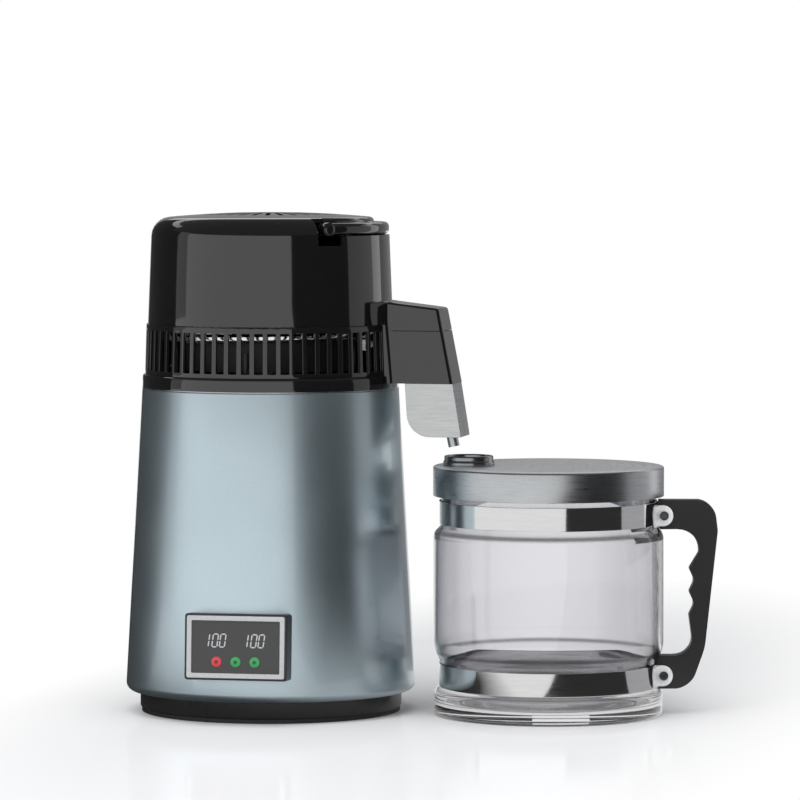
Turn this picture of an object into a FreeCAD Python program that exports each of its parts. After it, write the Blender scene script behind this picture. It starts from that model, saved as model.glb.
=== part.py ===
import FreeCAD, Part
import math
import os
from FreeCAD import Placement, Rotation, Vector

# A countertop water distiller with its free-standing glass jug.
# The origin is on the table, under the machine's axis. +Z is up, the display panel faces -Y
# and the spout points along +X. All lengths are in millimetres.

# Heights of the machine, from the table up
foot_height = 3.0
casing_bottom = 15.0
casing_height = 218.0
rim_thickness = 1.0
band_height = 9.0
vent_height = 36.0
dome_height = 80.0

casing_top = casing_bottom + casing_height
rim_top = casing_top + rim_thickness
vent_bottom = rim_top + band_height
dome_bottom = vent_bottom + vent_height
crown_top = dome_bottom + dome_height

# Radii of the machine
base_radius = 94.3
casing_foot_radius = 104.7
casing_top_radius = 92.4
band_radius = 92.0
vent_foot_radius = 90.4
vent_top_radius = 89.3
dome_foot_radius = 88.2
dome_top_radius = 85.1

# Walls and clearances that several pieces share
sheet_wall = 1.2
plastic_wall = 2.4
fit_gap = 0.1
free_gap = 0.3
pin_gap = 0.05
round_end_share = 0.45
overrun = 20.0

# Place of the jug: its axis on the table, and the way its handle points
jug_x = 201.0
jug_y = 16.0
jug_turn = 13.0

UP = Vector(0, 0, 1)
ORIGIN = Vector(0, 0, 0)


def polar(radius, angle, z=0.0):
    """A point at a radius and an angle in degrees about the machine's axis."""
    turn = math.radians(angle)
    return Vector(radius * math.cos(turn), radius * math.sin(turn), z)


def corner_arc(before, corner, after, radius):
    """Start, middle and end of the arc that rounds a corner."""
    back = (before - corner).normalize()
    ahead = (after - corner).normalize()
    half = back.getAngle(ahead) / 2
    reach = radius / math.tan(half)
    middle_way = (back + ahead).normalize()
    centre = corner + middle_way * (radius / math.sin(half))
    return corner + back * reach, centre - middle_way * radius, corner + ahead * reach


def outline(corners, place):
    """A closed wire through corners (a, b) or (a, b, radius), with rounded corners where given."""
    points = [place(corner[0], corner[1]) for corner in corners]
    radii = [corner[2] if len(corner) > 2 else 0 for corner in corners]
    count = len(points)
    stations = []
    for i in range(count):
        if radii[i] > 0:
            stations.append(corner_arc(points[i - 1], points[i], points[(i + 1) % count], radii[i]))
        else:
            stations.append((points[i], None, points[i]))
    edges = []
    for i, (start, middle, end) in enumerate(stations):
        if middle is not None:
            edges.append(Part.Arc(start, middle, end).toShape())
        following = stations[(i + 1) % count][0]
        if not end.isEqual(following, fit_gap / 1000):
            edges.append(Part.LineSegment(end, following).toShape())
    return Part.Wire(edges)


def in_section(a, b):
    """Radius and height, in the plane that is turned about the axis."""
    return Vector(a, 0, b)


def in_plan(a, b):
    """A point on the table plane."""
    return Vector(a, b, 0)


def turned(corners, angle=360.0, start=0.0):
    """A solid of revolution about the machine's axis, from corners (radius, height, rounding)."""
    face = Part.Face(outline(corners, in_section))
    face.rotate(ORIGIN, UP, start)
    return face.revolve(ORIGIN, UP, angle)


def plate(corners, low, high):
    """A flat outline, seen from above, raised between two heights."""
    face = Part.Face(outline(corners, in_plan))
    face.translate(UP * low)
    return face.extrude(UP * (high - low))


def side_plate(corners, half_width):
    """An outline in the plane of X and Z, made as wide on both sides of that plane."""
    face = Part.Face(outline(corners, in_section))
    face.translate(Vector(0, -half_width, 0))
    return face.extrude(Vector(0, 2 * half_width, 0))


def rectangle(width, depth, radius=0.0, x=0.0, y=0.0):
    """Corners of a rectangle about a centre."""
    a = width / 2
    b = depth / 2
    return [(x - a, y - b, radius), (x + a, y - b, radius), (x + a, y + b, radius), (x - a, y + b, radius)]


def rod(radius, start, end):
    """A round rod between two points."""
    way = end - start
    return Part.makeCylinder(radius, way.Length, start, way)


def disc(radius, low, high, x=0.0, y=0.0):
    """A round upright solid between two heights."""
    return rod(radius, Vector(x, y, low), Vector(x, y, high))


def around(shape, count, start=0.0, sweep=360.0):
    """Copies of a shape, evenly spaced about the machine's axis."""
    copies = []
    for i in range(count):
        copy = shape.copy()
        copy.rotate(ORIGIN, UP, start + sweep * i / count)
        copies.append(copy)
    return copies


def joined(shapes):
    """One solid from shapes that touch or overlap."""
    whole = shapes[0].fuse(shapes[1:])
    merged = whole.removeSplitter()
    if merged.isValid():
        whole = merged
    return whole.Solids[0] if len(whole.Solids) == 1 else whole


def group(shapes):
    """Separate solids that share one node."""
    return Part.makeCompound(shapes)


def tangent_route(points, share=0.45):
    """A wire of straight runs joined by tangent arcs, as large as the runs beside them allow."""
    stations = [(points[0], None, points[0])]
    for before, corner, after in zip(points, points[1:], points[2:]):
        half = (before - corner).getAngle(after - corner) / 2
        shorter = min((before - corner).Length, (after - corner).Length)
        stations.append(corner_arc(before, corner, after, share * shorter * math.tan(half)))
    stations.append((points[-1], None, points[-1]))
    edges = []
    for (start, middle, end), (following, _, _) in zip(stations, stations[1:] + stations[-1:]):
        if middle is not None:
            edges.append(Part.Arc(start, middle, end).toShape())
        if not end.isEqual(following, fit_gap / 1000):
            edges.append(Part.LineSegment(end, following).toShape())
    return Part.Wire(edges)


def sweep_round(route, radius):
    """A round solid along a wire."""
    first = route.Edges[0]
    start = first.valueAt(first.FirstParameter)
    way = first.tangentAt(first.FirstParameter)
    section = Part.Wire([Part.makeCircle(radius, start, way)])
    return route.makePipeShell([section], True, False)


# Base: a plastic ring on a rubber foot, closed by a cover
base_wall = 3.0
base_flange_radius = 98.0
base_flange_height = 3.0
lip_radius = 93.0
cover_radius = 85.0
cover_thickness = 2.0
cover_rebate = 3.0
foot_inner_radius = 86.5
cover_screw_radius = 1.5
cover_screw_head_radius = 3.0
cover_screw_head = 1.0
cover_screw_length = 8.0
cover_screw_count = 4
cover_screw_circle = 80.0
cover_boss_inner_radius = 74.0
cover_slot_width = 4.0
cover_slot_length = 24.0
cover_slot_circle = 56.0
cover_slot_count = 12

flange_low = casing_bottom + sheet_wall
flange_top = flange_low + base_flange_height
rebate_top = foot_height + cover_rebate
casing_slope = (casing_foot_radius - casing_top_radius) / casing_height
casing_lean = math.degrees(math.atan(casing_slope))


def casing_radius(height):
    """Outer radius of the casing's cone at a height."""
    return casing_foot_radius - (height - casing_bottom) * casing_slope


def foot_ring():
    ring = disc(base_radius - base_wall / 3, 0, foot_height)
    return ring.cut(disc(foot_inner_radius, -overrun, foot_height + overrun))


def base_ring():
    body = turned([
        (base_radius, foot_height),
        (base_radius, casing_bottom),
        (lip_radius - free_gap, casing_bottom),
        (lip_radius - free_gap, flange_low),
        (base_flange_radius, flange_low),
        (base_flange_radius, flange_top),
        (cover_boss_inner_radius, flange_top),
        (cover_boss_inner_radius, rebate_top),
        (cover_radius + fit_gap, rebate_top),
        (cover_radius + fit_gap, foot_height),
    ])
    hole = disc(cover_screw_radius, rebate_top - overrun, rebate_top + cover_screw_length, cover_screw_circle)
    return body.cut(around(hole, cover_screw_count))


def bottom_cover():
    body = disc(cover_radius, rebate_top - cover_thickness, rebate_top)
    hole = disc(cover_screw_radius, -overrun, overrun, cover_screw_circle)
    slot_corner = cover_slot_width * round_end_share
    slot = plate(rectangle(cover_slot_width, cover_slot_length, slot_corner, cover_slot_circle),
                 -overrun, overrun)
    return body.cut(around(hole, cover_screw_count) + around(slot, cover_slot_count))


def cover_screws():
    head_top = rebate_top - cover_thickness
    head = disc(cover_screw_head_radius, head_top - cover_screw_head, head_top, cover_screw_circle)
    shank = disc(cover_screw_radius, head_top - cover_screw_head / 2, head_top + cover_screw_length,
                 cover_screw_circle)
    return group(around(joined([head, shank]), cover_screw_count))


# Fittings let into the casing: the display panel in front and the power inlet behind
panel_height = 56.0
panel_proud = 8.3
inlet_height = 34.0
inlet_proud = 3.3
bezel_width = 73.5
bezel_tall = 46.6
bezel_corner = 2.0
frame_width = 70.2
frame_tall = 43.6
frame_bar = 3.3
frame_proud = 0.6
frame_depth = 3.0
window_set_back = 1.0
sleeve_width = 66.0
sleeve_tall = 39.0
cavity_width = 60.0
cavity_tall = 33.0
sleeve_depth = 24.0
ledge_width = 3.0
ledge_depth = 2.0
board_depth = 13.0
board_thickness = 1.6
button_radius = 3.7
button_flange_radius = 4.8
button_flange = 0.8
button_proud = 0.6
button_stem_radius = 2.0
button_stem_end = 7.6
button_travel = 0.7
button_pitch = 13.7

panel_distance = casing_foot_radius + panel_proud
inlet_distance = casing_foot_radius + inlet_proud
button_drop = 10.5
switch_size = 6.0
switch_height = 3.6
plunger_radius = 1.6
lamp_width = 44.0
lamp_tall = 13.0
lamp_depth = 4.0
lamp_rise = 4.5
relay_width = 18.0
relay_tall = 14.0
relay_length = 8.0
relay_side = 14.0
inlet_flange_width = 50.0
inlet_flange_tall = 24.0
inlet_body_width = 30.0
inlet_body_tall = 22.0
inlet_body_depth = 23.0
socket_width = 24.6
socket_tall = 16.8
socket_depth = 16.0
socket_corner = 2.5
inlet_screw_pitch = 40.0
inlet_screw_radius = 1.6
inlet_screw_head_radius = 3.0
inlet_screw_head = 1.4
inlet_screw_length = 12.0
pin_width = 2.0
pin_tall = 4.0
pin_recess = 3.0
pin_tail = 6.0
pin_pitch = 14.0
earth_pin_rise = 4.0


def panel_place():
    """The panel's own frame: X to the right, Y inwards and Z up, leaning back with the casing."""
    return Placement(Vector(0, -panel_distance, panel_height), Rotation(Vector(1, 0, 0), -casing_lean))


def inlet_place():
    """The inlet's own frame on the back of the casing, with Y inwards."""
    return Placement(Vector(0, inlet_distance, inlet_height), Rotation(UP, 180))


def block(width, tall, front, back, x=0.0, z=0.0, corner=0.0):
    """A block in the frame of a panel, with its four long edges rounded."""
    face = Part.Face(outline(rectangle(width, tall, corner, x, z), in_section))
    face.translate(Vector(0, front, 0))
    return face.extrude(Vector(0, back - front, 0))


def along_depth(radius, front, back, x=0.0, z=0.0):
    """A round solid along the depth of a panel."""
    return rod(radius, Vector(x, front, z), Vector(x, back, z))


def placed(shape, place):
    """The shape, moved from a local frame to the machine's."""
    moved = shape.copy()
    moved.Placement = place.multiply(moved.Placement)
    return moved


def casing_cone():
    """The space inside the casing's outer surface, longer than the casing at both ends."""
    low = casing_bottom - overrun
    high = casing_top + overrun
    return Part.makeCone(casing_radius(low), casing_radius(high), high - low, Vector(0, 0, low))


# Casing and boiler
casing_edge_radius = 6.0
boiler_radius = 84.8
boiler_wall = 0.8
boiler_bottom = 52.0
boiler_corner = 12.0
contact_width = 5.0
contact_thickness = 1.0
contact_pitch = 12.0
contact_angle = 90.0
contact_circle = 88.0


def outer_casing():
    inner_foot = casing_foot_radius - sheet_wall
    inner_top = casing_top_radius - sheet_wall
    body = turned([
        (casing_top_radius, casing_top),
        (casing_foot_radius, casing_bottom, casing_edge_radius),
        (lip_radius, casing_bottom),
        (lip_radius, casing_bottom + sheet_wall),
        (inner_foot, casing_bottom + sheet_wall, casing_edge_radius - sheet_wall),
        (inner_top, casing_top),
    ])
    window = block(sleeve_width + free_gap, sleeve_tall + free_gap, 0, sleeve_depth)
    opening = block(inlet_body_width + free_gap, inlet_body_tall + free_gap, 0, inlet_body_depth)
    screws = [placed(along_depth(inlet_screw_radius + pin_gap, 0, inlet_screw_length, side * inlet_screw_pitch / 2),
                     inlet_place()) for side in (-1, 1)]
    return body.cut([placed(window, panel_place()), placed(opening, inlet_place())] + screws)


def contact_blades(length, gap):
    """The two upright contact blades at the back of the rim, or the slots that they enter."""
    blades = []
    for side in (-1, 1):
        corners = rectangle(contact_width + gap, contact_thickness + gap, 0, side * contact_pitch / 2,
                            contact_circle)
        blades.append(plate(corners, rim_top - length, rim_top))
    return blades


def boiler():
    inner = boiler_radius - boiler_wall
    body = turned([
        (0, boiler_bottom),
        (boiler_radius, boiler_bottom, boiler_corner),
        (boiler_radius, casing_top),
        (casing_top_radius, casing_top),
        (casing_top_radius, rim_top),
        (inner, rim_top),
        (inner, boiler_bottom + boiler_wall, boiler_corner - boiler_wall),
        (0, boiler_bottom + boiler_wall),
    ])
    return body.cut(contact_blades(overrun, 2 * free_gap))


# Heater under the boiler
heater_plate_radius = 60.0
heater_plate_thickness = 5.0
element_circle = 45.0
element_radius = 4.0
element_sweep = 310.0
terminal_radius = 1.5
terminal_length = 8.0
clamp_length = 112.0
clamp_width = 16.0
clamp_thickness = 2.5
clamp_bolt_radius = 3.0
thermostat_radius = 9.0
thermostat_height = 9.0
thermostat_offset = 25.0

plate_low = boiler_bottom - heater_plate_thickness
element_height = plate_low - element_radius
clamp_top = element_height - element_radius


def heater_plate():
    return disc(heater_plate_radius, plate_low, boiler_bottom)


def heater_element():
    section = Part.Face(Part.Wire([Part.makeCircle(element_radius, Vector(element_circle, 0, element_height),
                                                   Vector(0, 1, 0))]))
    start = contact_angle + (360 - element_sweep) / 2
    section.rotate(ORIGIN, UP, start)
    ring = section.revolve(ORIGIN, UP, element_sweep)
    shapes = [ring]
    for angle in (start + terminal_length / 2, start + element_sweep - terminal_length / 2):
        foot = polar(element_circle, angle, element_height - element_radius - terminal_length)
        shapes.append(rod(terminal_radius, foot, polar(element_circle, angle, element_height)))
    return joined(shapes)


def heater_clamp():
    bar = plate(rectangle(clamp_length, clamp_width, clamp_width / 4), clamp_top - clamp_thickness, clamp_top)
    bolt = disc(clamp_bolt_radius, clamp_top - 2 * clamp_thickness, plate_low)
    return joined([bar, bolt])


def thermostat_body(side):
    """A disc thermostat under the heater plate, with two flat tags."""
    y = side * thermostat_offset
    body = disc(thermostat_radius, plate_low - thermostat_height, plate_low, 0, y)
    tag = plate(rectangle(contact_width, contact_thickness, 0, thermostat_radius / 2, y),
                plate_low - thermostat_height - terminal_length, plate_low - thermostat_height / 2)
    other = tag.translated(Vector(-thermostat_radius, 0, 0))
    return joined([body, tag, other])


def thermostat():
    return thermostat_body(1)


def thermal_cutout():
    return thermostat_body(-1)


# Display panel
def button_holes(radius, front, back):
    """Round solids at the places of the three buttons."""
    return [along_depth(radius, front, back, side * button_pitch, -button_drop) for side in (-1, 0, 1)]


def panel_housing():
    bezel = block(bezel_width, bezel_tall, frame_proud, panel_distance, 0, 0, bezel_corner)
    bezel = placed(bezel, panel_place()).cut(casing_cone())
    front_part = min(bezel.Solids, key=lambda solid: solid.CenterOfMass.y)
    sleeve = placed(block(sleeve_width, sleeve_tall, frame_depth, sleeve_depth), panel_place())
    recess = block(frame_width + 2 * fit_gap, frame_tall + 2 * fit_gap, -overrun, frame_depth, 0, 0, bezel_corner / 2)
    cavity = block(cavity_width, cavity_tall, 0, overrun + sleeve_depth)
    body = joined([front_part, sleeve])
    body = body.cut([placed(recess, panel_place()), placed(cavity, panel_place())])
    ledge_front = board_depth + board_thickness
    ledge = block(cavity_width + fit_gap, cavity_tall + fit_gap, ledge_front, ledge_front + ledge_depth)
    ledge = ledge.cut(block(cavity_width - 2 * ledge_width, cavity_tall - 2 * ledge_width, 0, sleeve_depth))
    return joined([body, placed(ledge, panel_place())])


def panel_frame():
    ring = block(frame_width, frame_tall, 0, frame_depth, 0, 0, bezel_corner / 2)
    hole = block(frame_width - 2 * frame_bar, frame_tall - 2 * frame_bar, -overrun, overrun)
    return placed(ring.cut(hole), panel_place())


def display_window():
    width = frame_width - 2 * frame_bar - 2 * fit_gap
    tall = frame_tall - 2 * frame_bar - 2 * fit_gap
    pane = block(width, tall, window_set_back, frame_depth)
    return placed(pane.cut(button_holes(button_radius + free_gap, 0, frame_depth)), panel_place())


def button(place_number):
    """A push button: its cap in the window, the flange behind it and its stem."""
    x = place_number * button_pitch
    front = window_set_back - button_proud
    flange_front = frame_depth + free_gap
    cap = along_depth(button_radius, front, flange_front + button_flange, x, -button_drop)
    flange = along_depth(button_flange_radius, flange_front, flange_front + button_flange, x, -button_drop)
    stem = along_depth(button_stem_radius, flange_front, button_stem_end, x, -button_drop)
    return placed(joined([cap, flange, stem]), panel_place())


def power_button():
    return button(-1)


def down_button():
    return button(0)


def up_button():
    return button(1)


def control_board():
    board = block(cavity_width - 2 * fit_gap, cavity_tall - 2 * fit_gap, board_depth, board_depth + board_thickness)
    shapes = [board]
    for side in (-1, 0, 1):
        x = side * button_pitch
        z = -button_drop
        shapes.append(block(switch_size, switch_size, board_depth - switch_height, board_depth, x, z))
        tip = button_stem_end + button_travel + fit_gap
        shapes.append(along_depth(plunger_radius, tip, board_depth, x, z))
    back = board_depth + board_thickness
    for side in (-1, 1):
        shapes.append(block(relay_width, relay_tall, back, back + relay_length, side * relay_side))
    return placed(joined(shapes), panel_place())


def display_lamps():
    """The block of lit figures between the window and the board."""
    body = block(lamp_width, lamp_tall, board_depth - lamp_depth, board_depth, 0, lamp_rise)
    return placed(body, panel_place())


# Power inlet
def power_inlet():
    flange = block(inlet_flange_width, inlet_flange_tall, 0, inlet_distance, 0, 0, socket_corner)
    flange = placed(flange, inlet_place()).cut(casing_cone())
    outer = max(flange.Solids, key=lambda solid: solid.CenterOfMass.y)
    body = placed(block(inlet_body_width, inlet_body_tall, socket_corner, inlet_body_depth), inlet_place())
    socket = placed(block(socket_width, socket_tall, -overrun, socket_depth, 0, 0, socket_corner), inlet_place())
    screws = [placed(along_depth(inlet_screw_radius, -overrun, inlet_screw_length, side * inlet_screw_pitch / 2),
                     inlet_place()) for side in (-1, 1)]
    return joined([outer, body]).cut([socket] + screws + pin_solids())


def pin_solids():
    """The three contact pins, from inside the socket through its floor."""
    tail = inlet_body_depth + pin_tail
    pins = [block(pin_width, pin_tall, pin_recess, tail, side * pin_pitch / 2) for side in (-1, 1)]
    pins.append(block(pin_width, pin_tall, pin_recess, tail, 0, earth_pin_rise))
    return [placed(pin, inlet_place()) for pin in pins]


def inlet_pins():
    return group(pin_solids())


def inlet_screws():
    screws = []
    for side in (-1, 1):
        x = side * inlet_screw_pitch / 2
        head = along_depth(inlet_screw_head_radius, -inlet_screw_head, 0, x)
        shank = along_depth(inlet_screw_radius, -inlet_screw_head, inlet_screw_length, x)
        screws.append(placed(joined([head, shank]), inlet_place()))
    return group(screws)


# Contact block at the back of the rim, which feeds the fan in the head
contact_block_width = 28.0
contact_block_depth = 4.4
contact_block_tall = 16.0


def fan_socket():
    corners = rectangle(contact_block_width, contact_block_depth, 0, 0, contact_circle)
    body = plate(corners, casing_top - contact_block_tall, casing_top)
    near_wall = Part.makeCylinder(boiler_radius + free_gap, casing_top)
    slots = contact_blades(contact_block_tall - contact_thickness, 2 * free_gap)
    return body.cut([near_wall] + slots)


# Wires inside the base: live and neutral to the heater and the board, and one up to the fan's contacts.
# Each starts at a pin of the inlet, and then passes through points chosen by hand.
wire_radius = 1.4
live_points = [(7, 66, 34), (10, 46, 24), (4.5, 25, 20), (4.5, 25, 30)]
neutral_points = [(-7, 64, 34), (-40, 48, 27), (-54, 4, 25), (-42, -46, 28), (-14, -68, 44), (-14, -90.3, 50.5)]
fan_points = [(0, 72, 38), (12, 69, 40), (24, 74, 43), (28, 83, 51), (28, 88, 66), (17, 89, 140),
              (3, 88.2, casing_top - 30), (3, 88.2, casing_top - contact_block_tall)]


def wiring_loom():
    inlet_back = inlet_distance - inlet_body_depth - pin_tail
    starts = [
        (pin_pitch / 2, inlet_height, live_points),
        (-pin_pitch / 2, inlet_height, neutral_points),
        (0, inlet_height + earth_pin_rise, fan_points),
    ]
    wires = []
    for x, height, points in starts:
        route = tangent_route([Vector(x, inlet_back, height)] + [Vector(*point) for point in points])
        wires.append(sweep_round(route, wire_radius))
        bends = [edge.Curve.Radius for edge in route.Edges if hasattr(edge.Curve, "Radius")]
        print("wire length", round(route.Length, 1), "bends", [round(bend, 1) for bend in bends])
    return group(wires)


# Head: the ring that seats on the boiler's rim, with the condenser above it
band_inner_radius = 82.6
deck_inner_radius = 74.0
deck_thickness = 2.0
deck_rise = 4.0
lid_radius = 82.3
lid_skirt = 8.0
lid_crown = 5.0
port_radius = 7.5
port_height = 7.0
seal_thickness = 1.2
seal_height = 6.0
blade_drop = 10.0
screw_radius = 1.5

deck_low = rim_top + deck_rise
lid_low = deck_low - sheet_wall
lid_centre = deck_low + lid_crown


def head_base():
    body = turned([
        (band_radius, rim_top),
        (band_radius, vent_bottom),
        (band_radius - 3 * plastic_wall, vent_bottom),
        (band_radius - 3 * plastic_wall, deck_low + deck_thickness),
        (deck_inner_radius, deck_low + deck_thickness),
        (deck_inner_radius, deck_low),
        (band_inner_radius, deck_low),
        (band_inner_radius, rim_top),
    ])
    slots = plate(rectangle(contact_block_width, contact_block_depth - 2 * free_gap, 0, 0, contact_circle),
                  rim_top - overrun, rim_top + contact_thickness)
    return body.cut(slots)


def fan_plug():
    """The contact block in the head's ring, with the two blades that enter the socket."""
    body = plate(rectangle(contact_block_width, contact_block_depth - 2 * free_gap, 0, 0, contact_circle),
                 rim_top, rim_top + contact_thickness)
    return joined([body] + [blade.translated(UP * contact_thickness / 2) for blade in contact_blades(blade_drop, 0)])


def condenser_lid():
    body = turned([
        (tube_radius + pin_gap, lid_centre - sheet_wall),
        (deck_inner_radius - plastic_wall, lid_low),
        (lid_radius - sheet_wall, lid_low),
        (lid_radius - sheet_wall, rim_top - lid_skirt),
        (lid_radius, rim_top - lid_skirt),
        (lid_radius, deck_low),
        (deck_inner_radius - plastic_wall, deck_low),
        (port_radius, lid_centre),
        (port_radius, lid_centre + port_height),
        (tube_radius + pin_gap, lid_centre + port_height),
    ])
    return body


def lid_seal():
    top = rim_top - free_gap
    ring = disc(lid_radius + seal_thickness, top - seal_height, top)
    return ring.cut(disc(lid_radius, -overrun, crown_top))


# Condenser coil: one unbroken tube from the lid's port to the spout
tube_radius = 4.0
tube_bore = 3.2
coil_radius = 70.0
coil_turns = 2
coil_pitch = 9.5
coil_rise = 19.5
coil_end_angle = -30.0
coil_entry_radius = 28.0
coil_entry_turn = 50.0
outlet_start = 84.0
outlet_end = 110.0
outlet_drop = 3.0
support_radius = 2.0
support_count = 3

coil_low = vent_bottom + coil_rise
coil_high = coil_low + coil_pitch * coil_turns
coil_start_angle = coil_end_angle - 360 * coil_turns
outlet_height = coil_low - outlet_drop


def coil_station(angle):
    """A point of the coil and the way that the tube runs there."""
    share = (angle - coil_start_angle) / 360
    fall = -coil_pitch / (2 * math.pi)
    turn = math.radians(angle)
    way = Vector(-coil_radius * math.sin(turn), coil_radius * math.cos(turn), fall)
    return polar(coil_radius, angle, coil_high - coil_pitch * share), way.normalize()


def half_arc(start, way, end):
    """The arc from start, along way, to end."""
    chord = end - start
    side = way - chord * (way.dot(chord) / chord.dot(chord))
    if side.Length < fit_gap / 100:
        return Part.LineSegment(start, end).toShape()
    rise = chord.Length / 2 * math.tan(way.getAngle(chord) / 2)
    return Part.Arc(start, start + chord / 2 + side.normalize() * rise, end).toShape()


def biarc(start, end):
    """Two tangent arcs between two stations, each a point and a way."""
    (p, a), (q, b) = start, end
    chord = q - p
    both = a + b
    bend = 2 * (1 - a.dot(b))
    if bend < 1e-9:
        reach = chord.dot(chord) / (2 * chord.dot(both))
    else:
        along = chord.dot(both)
        reach = (math.sqrt(along * along + bend * chord.dot(chord)) - along) / bend
    middle = (p + a * reach + q - b * reach) / 2
    return [half_arc(p, a, middle), half_arc_back(middle, q, b)]


def half_arc_back(start, end, way):
    """The arc from start to end that arrives along way."""
    chord = end - start
    side = chord * (way.dot(chord) / chord.dot(chord)) - way
    if side.Length < fit_gap / 100:
        return Part.LineSegment(start, end).toShape()
    rise = chord.Length / 2 * math.tan(way.getAngle(chord) / 2)
    return Part.Arc(start, start + chord / 2 + side.normalize() * rise, end).toShape()


def coil_route():
    """The tube's centre line: up from the port, round the coil and out to the spout."""
    entry_angle = coil_start_angle - coil_entry_turn
    inward = polar(1.0, entry_angle)
    stations = [
        (UP * (lid_centre + fit_gap), UP),
        (UP * (lid_centre + port_height), UP),
        (polar(coil_entry_radius, entry_angle, coil_high), inward),
    ]
    for quarter in range(4 * coil_turns + 1):
        stations.append(coil_station(coil_start_angle + 90 * quarter))
    stations.append((Vector(outlet_start, 0, outlet_height), Vector(1, 0, 0)))
    stations.append((Vector(outlet_end, 0, outlet_height), Vector(1, 0, 0)))
    edges = []
    for start, end in zip(stations, stations[1:]):
        if (end[0] - start[0]).getAngle(start[1]) < 1e-6 and start[1].getAngle(end[1]) < 1e-6:
            edges.append(Part.LineSegment(start[0], end[0]).toShape())
        else:
            edges.extend(biarc(start, end))
    return Part.Wire(edges)


def condenser_coil():
    route = coil_route()
    report_coil(route)
    return sweep_round(route, tube_radius).cut(sweep_round(route, tube_bore))


def report_coil(route):
    """Print the tube's length, its tightest bend and the least gap to itself."""
    points = [p for edge in route.Edges for p in edge.discretize(12)[:-1]]
    away = []
    run = 0.0
    for before, after in zip(points, points[1:]):
        away.append(run)
        run += (after - before).Length
    away.append(run)
    least = min((points[i] - points[j]).Length for i in range(len(points)) for j in range(i)
                if away[i] - away[j] > 2 * math.pi * tube_radius)
    bends = [edge.Curve.Radius for edge in route.Edges if hasattr(edge.Curve, "Radius")]
    print("condenser coil length", round(route.Length, 1), "tightest bend", round(min(bends), 1),
          "least gap to itself", round(least - 2 * tube_radius, 2))


def coil_supports():
    """Posts on the lid that carry the coil's lowest turn."""
    posts = []
    for i in range(support_count):
        angle = coil_end_angle - 60 - 90 * i
        top = coil_station(angle)[0].z - tube_radius - fit_gap
        foot = polar(coil_radius, angle, deck_low + free_gap)
        posts.append(rod(support_radius, foot, Vector(foot.x, foot.y, top)))
    return group(posts)


# Vent band round the condenser
vent_wall = 2.6
slot_count = 60
slot_width = 6.0
slot_low_rim = 3.4
slot_high_rim = 4.4
slot_clear_angle = 19.0


def head_cone(low, high, low_radius, high_radius):
    """A cone frustum about the machine's axis."""
    return Part.makeCone(low_radius, high_radius, high - low, Vector(0, 0, low))


def vent_ring():
    body = head_cone(vent_bottom, dome_bottom, vent_foot_radius, vent_top_radius)
    body = body.cut(head_cone(vent_bottom, dome_bottom, vent_foot_radius - vent_wall, vent_top_radius - vent_wall))
    slot = Part.makeBox(2 * vent_wall + overrun, slot_width, vent_height - slot_low_rim - slot_high_rim,
                        Vector(vent_top_radius - overrun, -slot_width / 2, vent_bottom + slot_low_rim))
    slots = []
    for i in range(slot_count):
        angle = 360.0 * (i + 0.5) / slot_count
        if min(angle, 360 - angle) > slot_clear_angle:
            copy = slot.copy()
            copy.rotate(ORIGIN, UP, angle)
            slots.append(copy)
    passage = rod(tube_radius + pin_gap, Vector(outlet_start, 0, outlet_height),
                  Vector(outlet_end, 0, outlet_height))
    return body.cut(slots + [passage])


# Dome, with the half-round ledge where the carry handle lies
crown_sphere_radius = 804.0
dome_edge_radius = 12.0
ledge_drop = 16.0
middle_radius = 74.5
middle_edge_radius = 3.0
ledge_edge_radius = 1.2
pivot_angle = -46.0
pivot_drop = 11.2
pocket_half_width = 9.5
pocket_drop = 24.5
boss_radius = 4.5
boss_circle = 60.0
boss_start_angle = 15.0
boss_share = 1.4
intake_count = 30
intake_width = 3.2
intake_inner = 20.0
intake_outer = 50.0
fan_deck_rise = 39.0

ledge_height = crown_top - ledge_drop
pivot_height = crown_top - pivot_drop
pocket_bottom = crown_top - pocket_drop
fan_deck = dome_bottom + fan_deck_rise
dome_slope = (dome_foot_radius - dome_top_radius) / (crown_top - dome_bottom)


def dome_radius(height):
    """Outer radius of the dome's cone at a height."""
    return dome_foot_radius - (height - dome_bottom) * dome_slope


def crowned(shape, inset):
    """The part of a shape under the dome's shallow crown."""
    centre = Vector(0, 0, crown_top - crown_sphere_radius)
    return shape.common(Part.makeSphere(crown_sphere_radius - inset, centre))


def top_rim(shape, radius):
    """The round edge of a shape at a radius, next to its crown."""
    rims = [edge for edge in shape.Edges if not edge.Degenerated and edge.BoundBox.ZLength < fit_gap
            and abs(edge.BoundBox.XMax - radius) < plastic_wall and edge.BoundBox.ZMin > ledge_height + plastic_wall]
    return [max(rims, key=lambda edge: edge.BoundBox.ZMin)]


def dome_half(inset):
    """The dome's full form, cut to the side that has no ledge."""
    low = dome_bottom - (overrun if inset else 0)
    high = crown_top + overrun
    cone = head_cone(low, high, dome_radius(low) - inset, dome_radius(high) - inset)
    cone = crowned(cone, inset)
    cone = cone.makeFillet(dome_edge_radius - inset, top_rim(cone, dome_radius(crown_top) - inset))
    side = Part.makeBox(6 * overrun, 12 * overrun, crown_top, Vector(-6 * overrun, -6 * overrun, dome_bottom - overrun))
    side.rotate(ORIGIN, UP, pivot_angle + 90)
    side.translate(polar(-inset, pivot_angle + 90))
    return cone.common(side)


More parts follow.
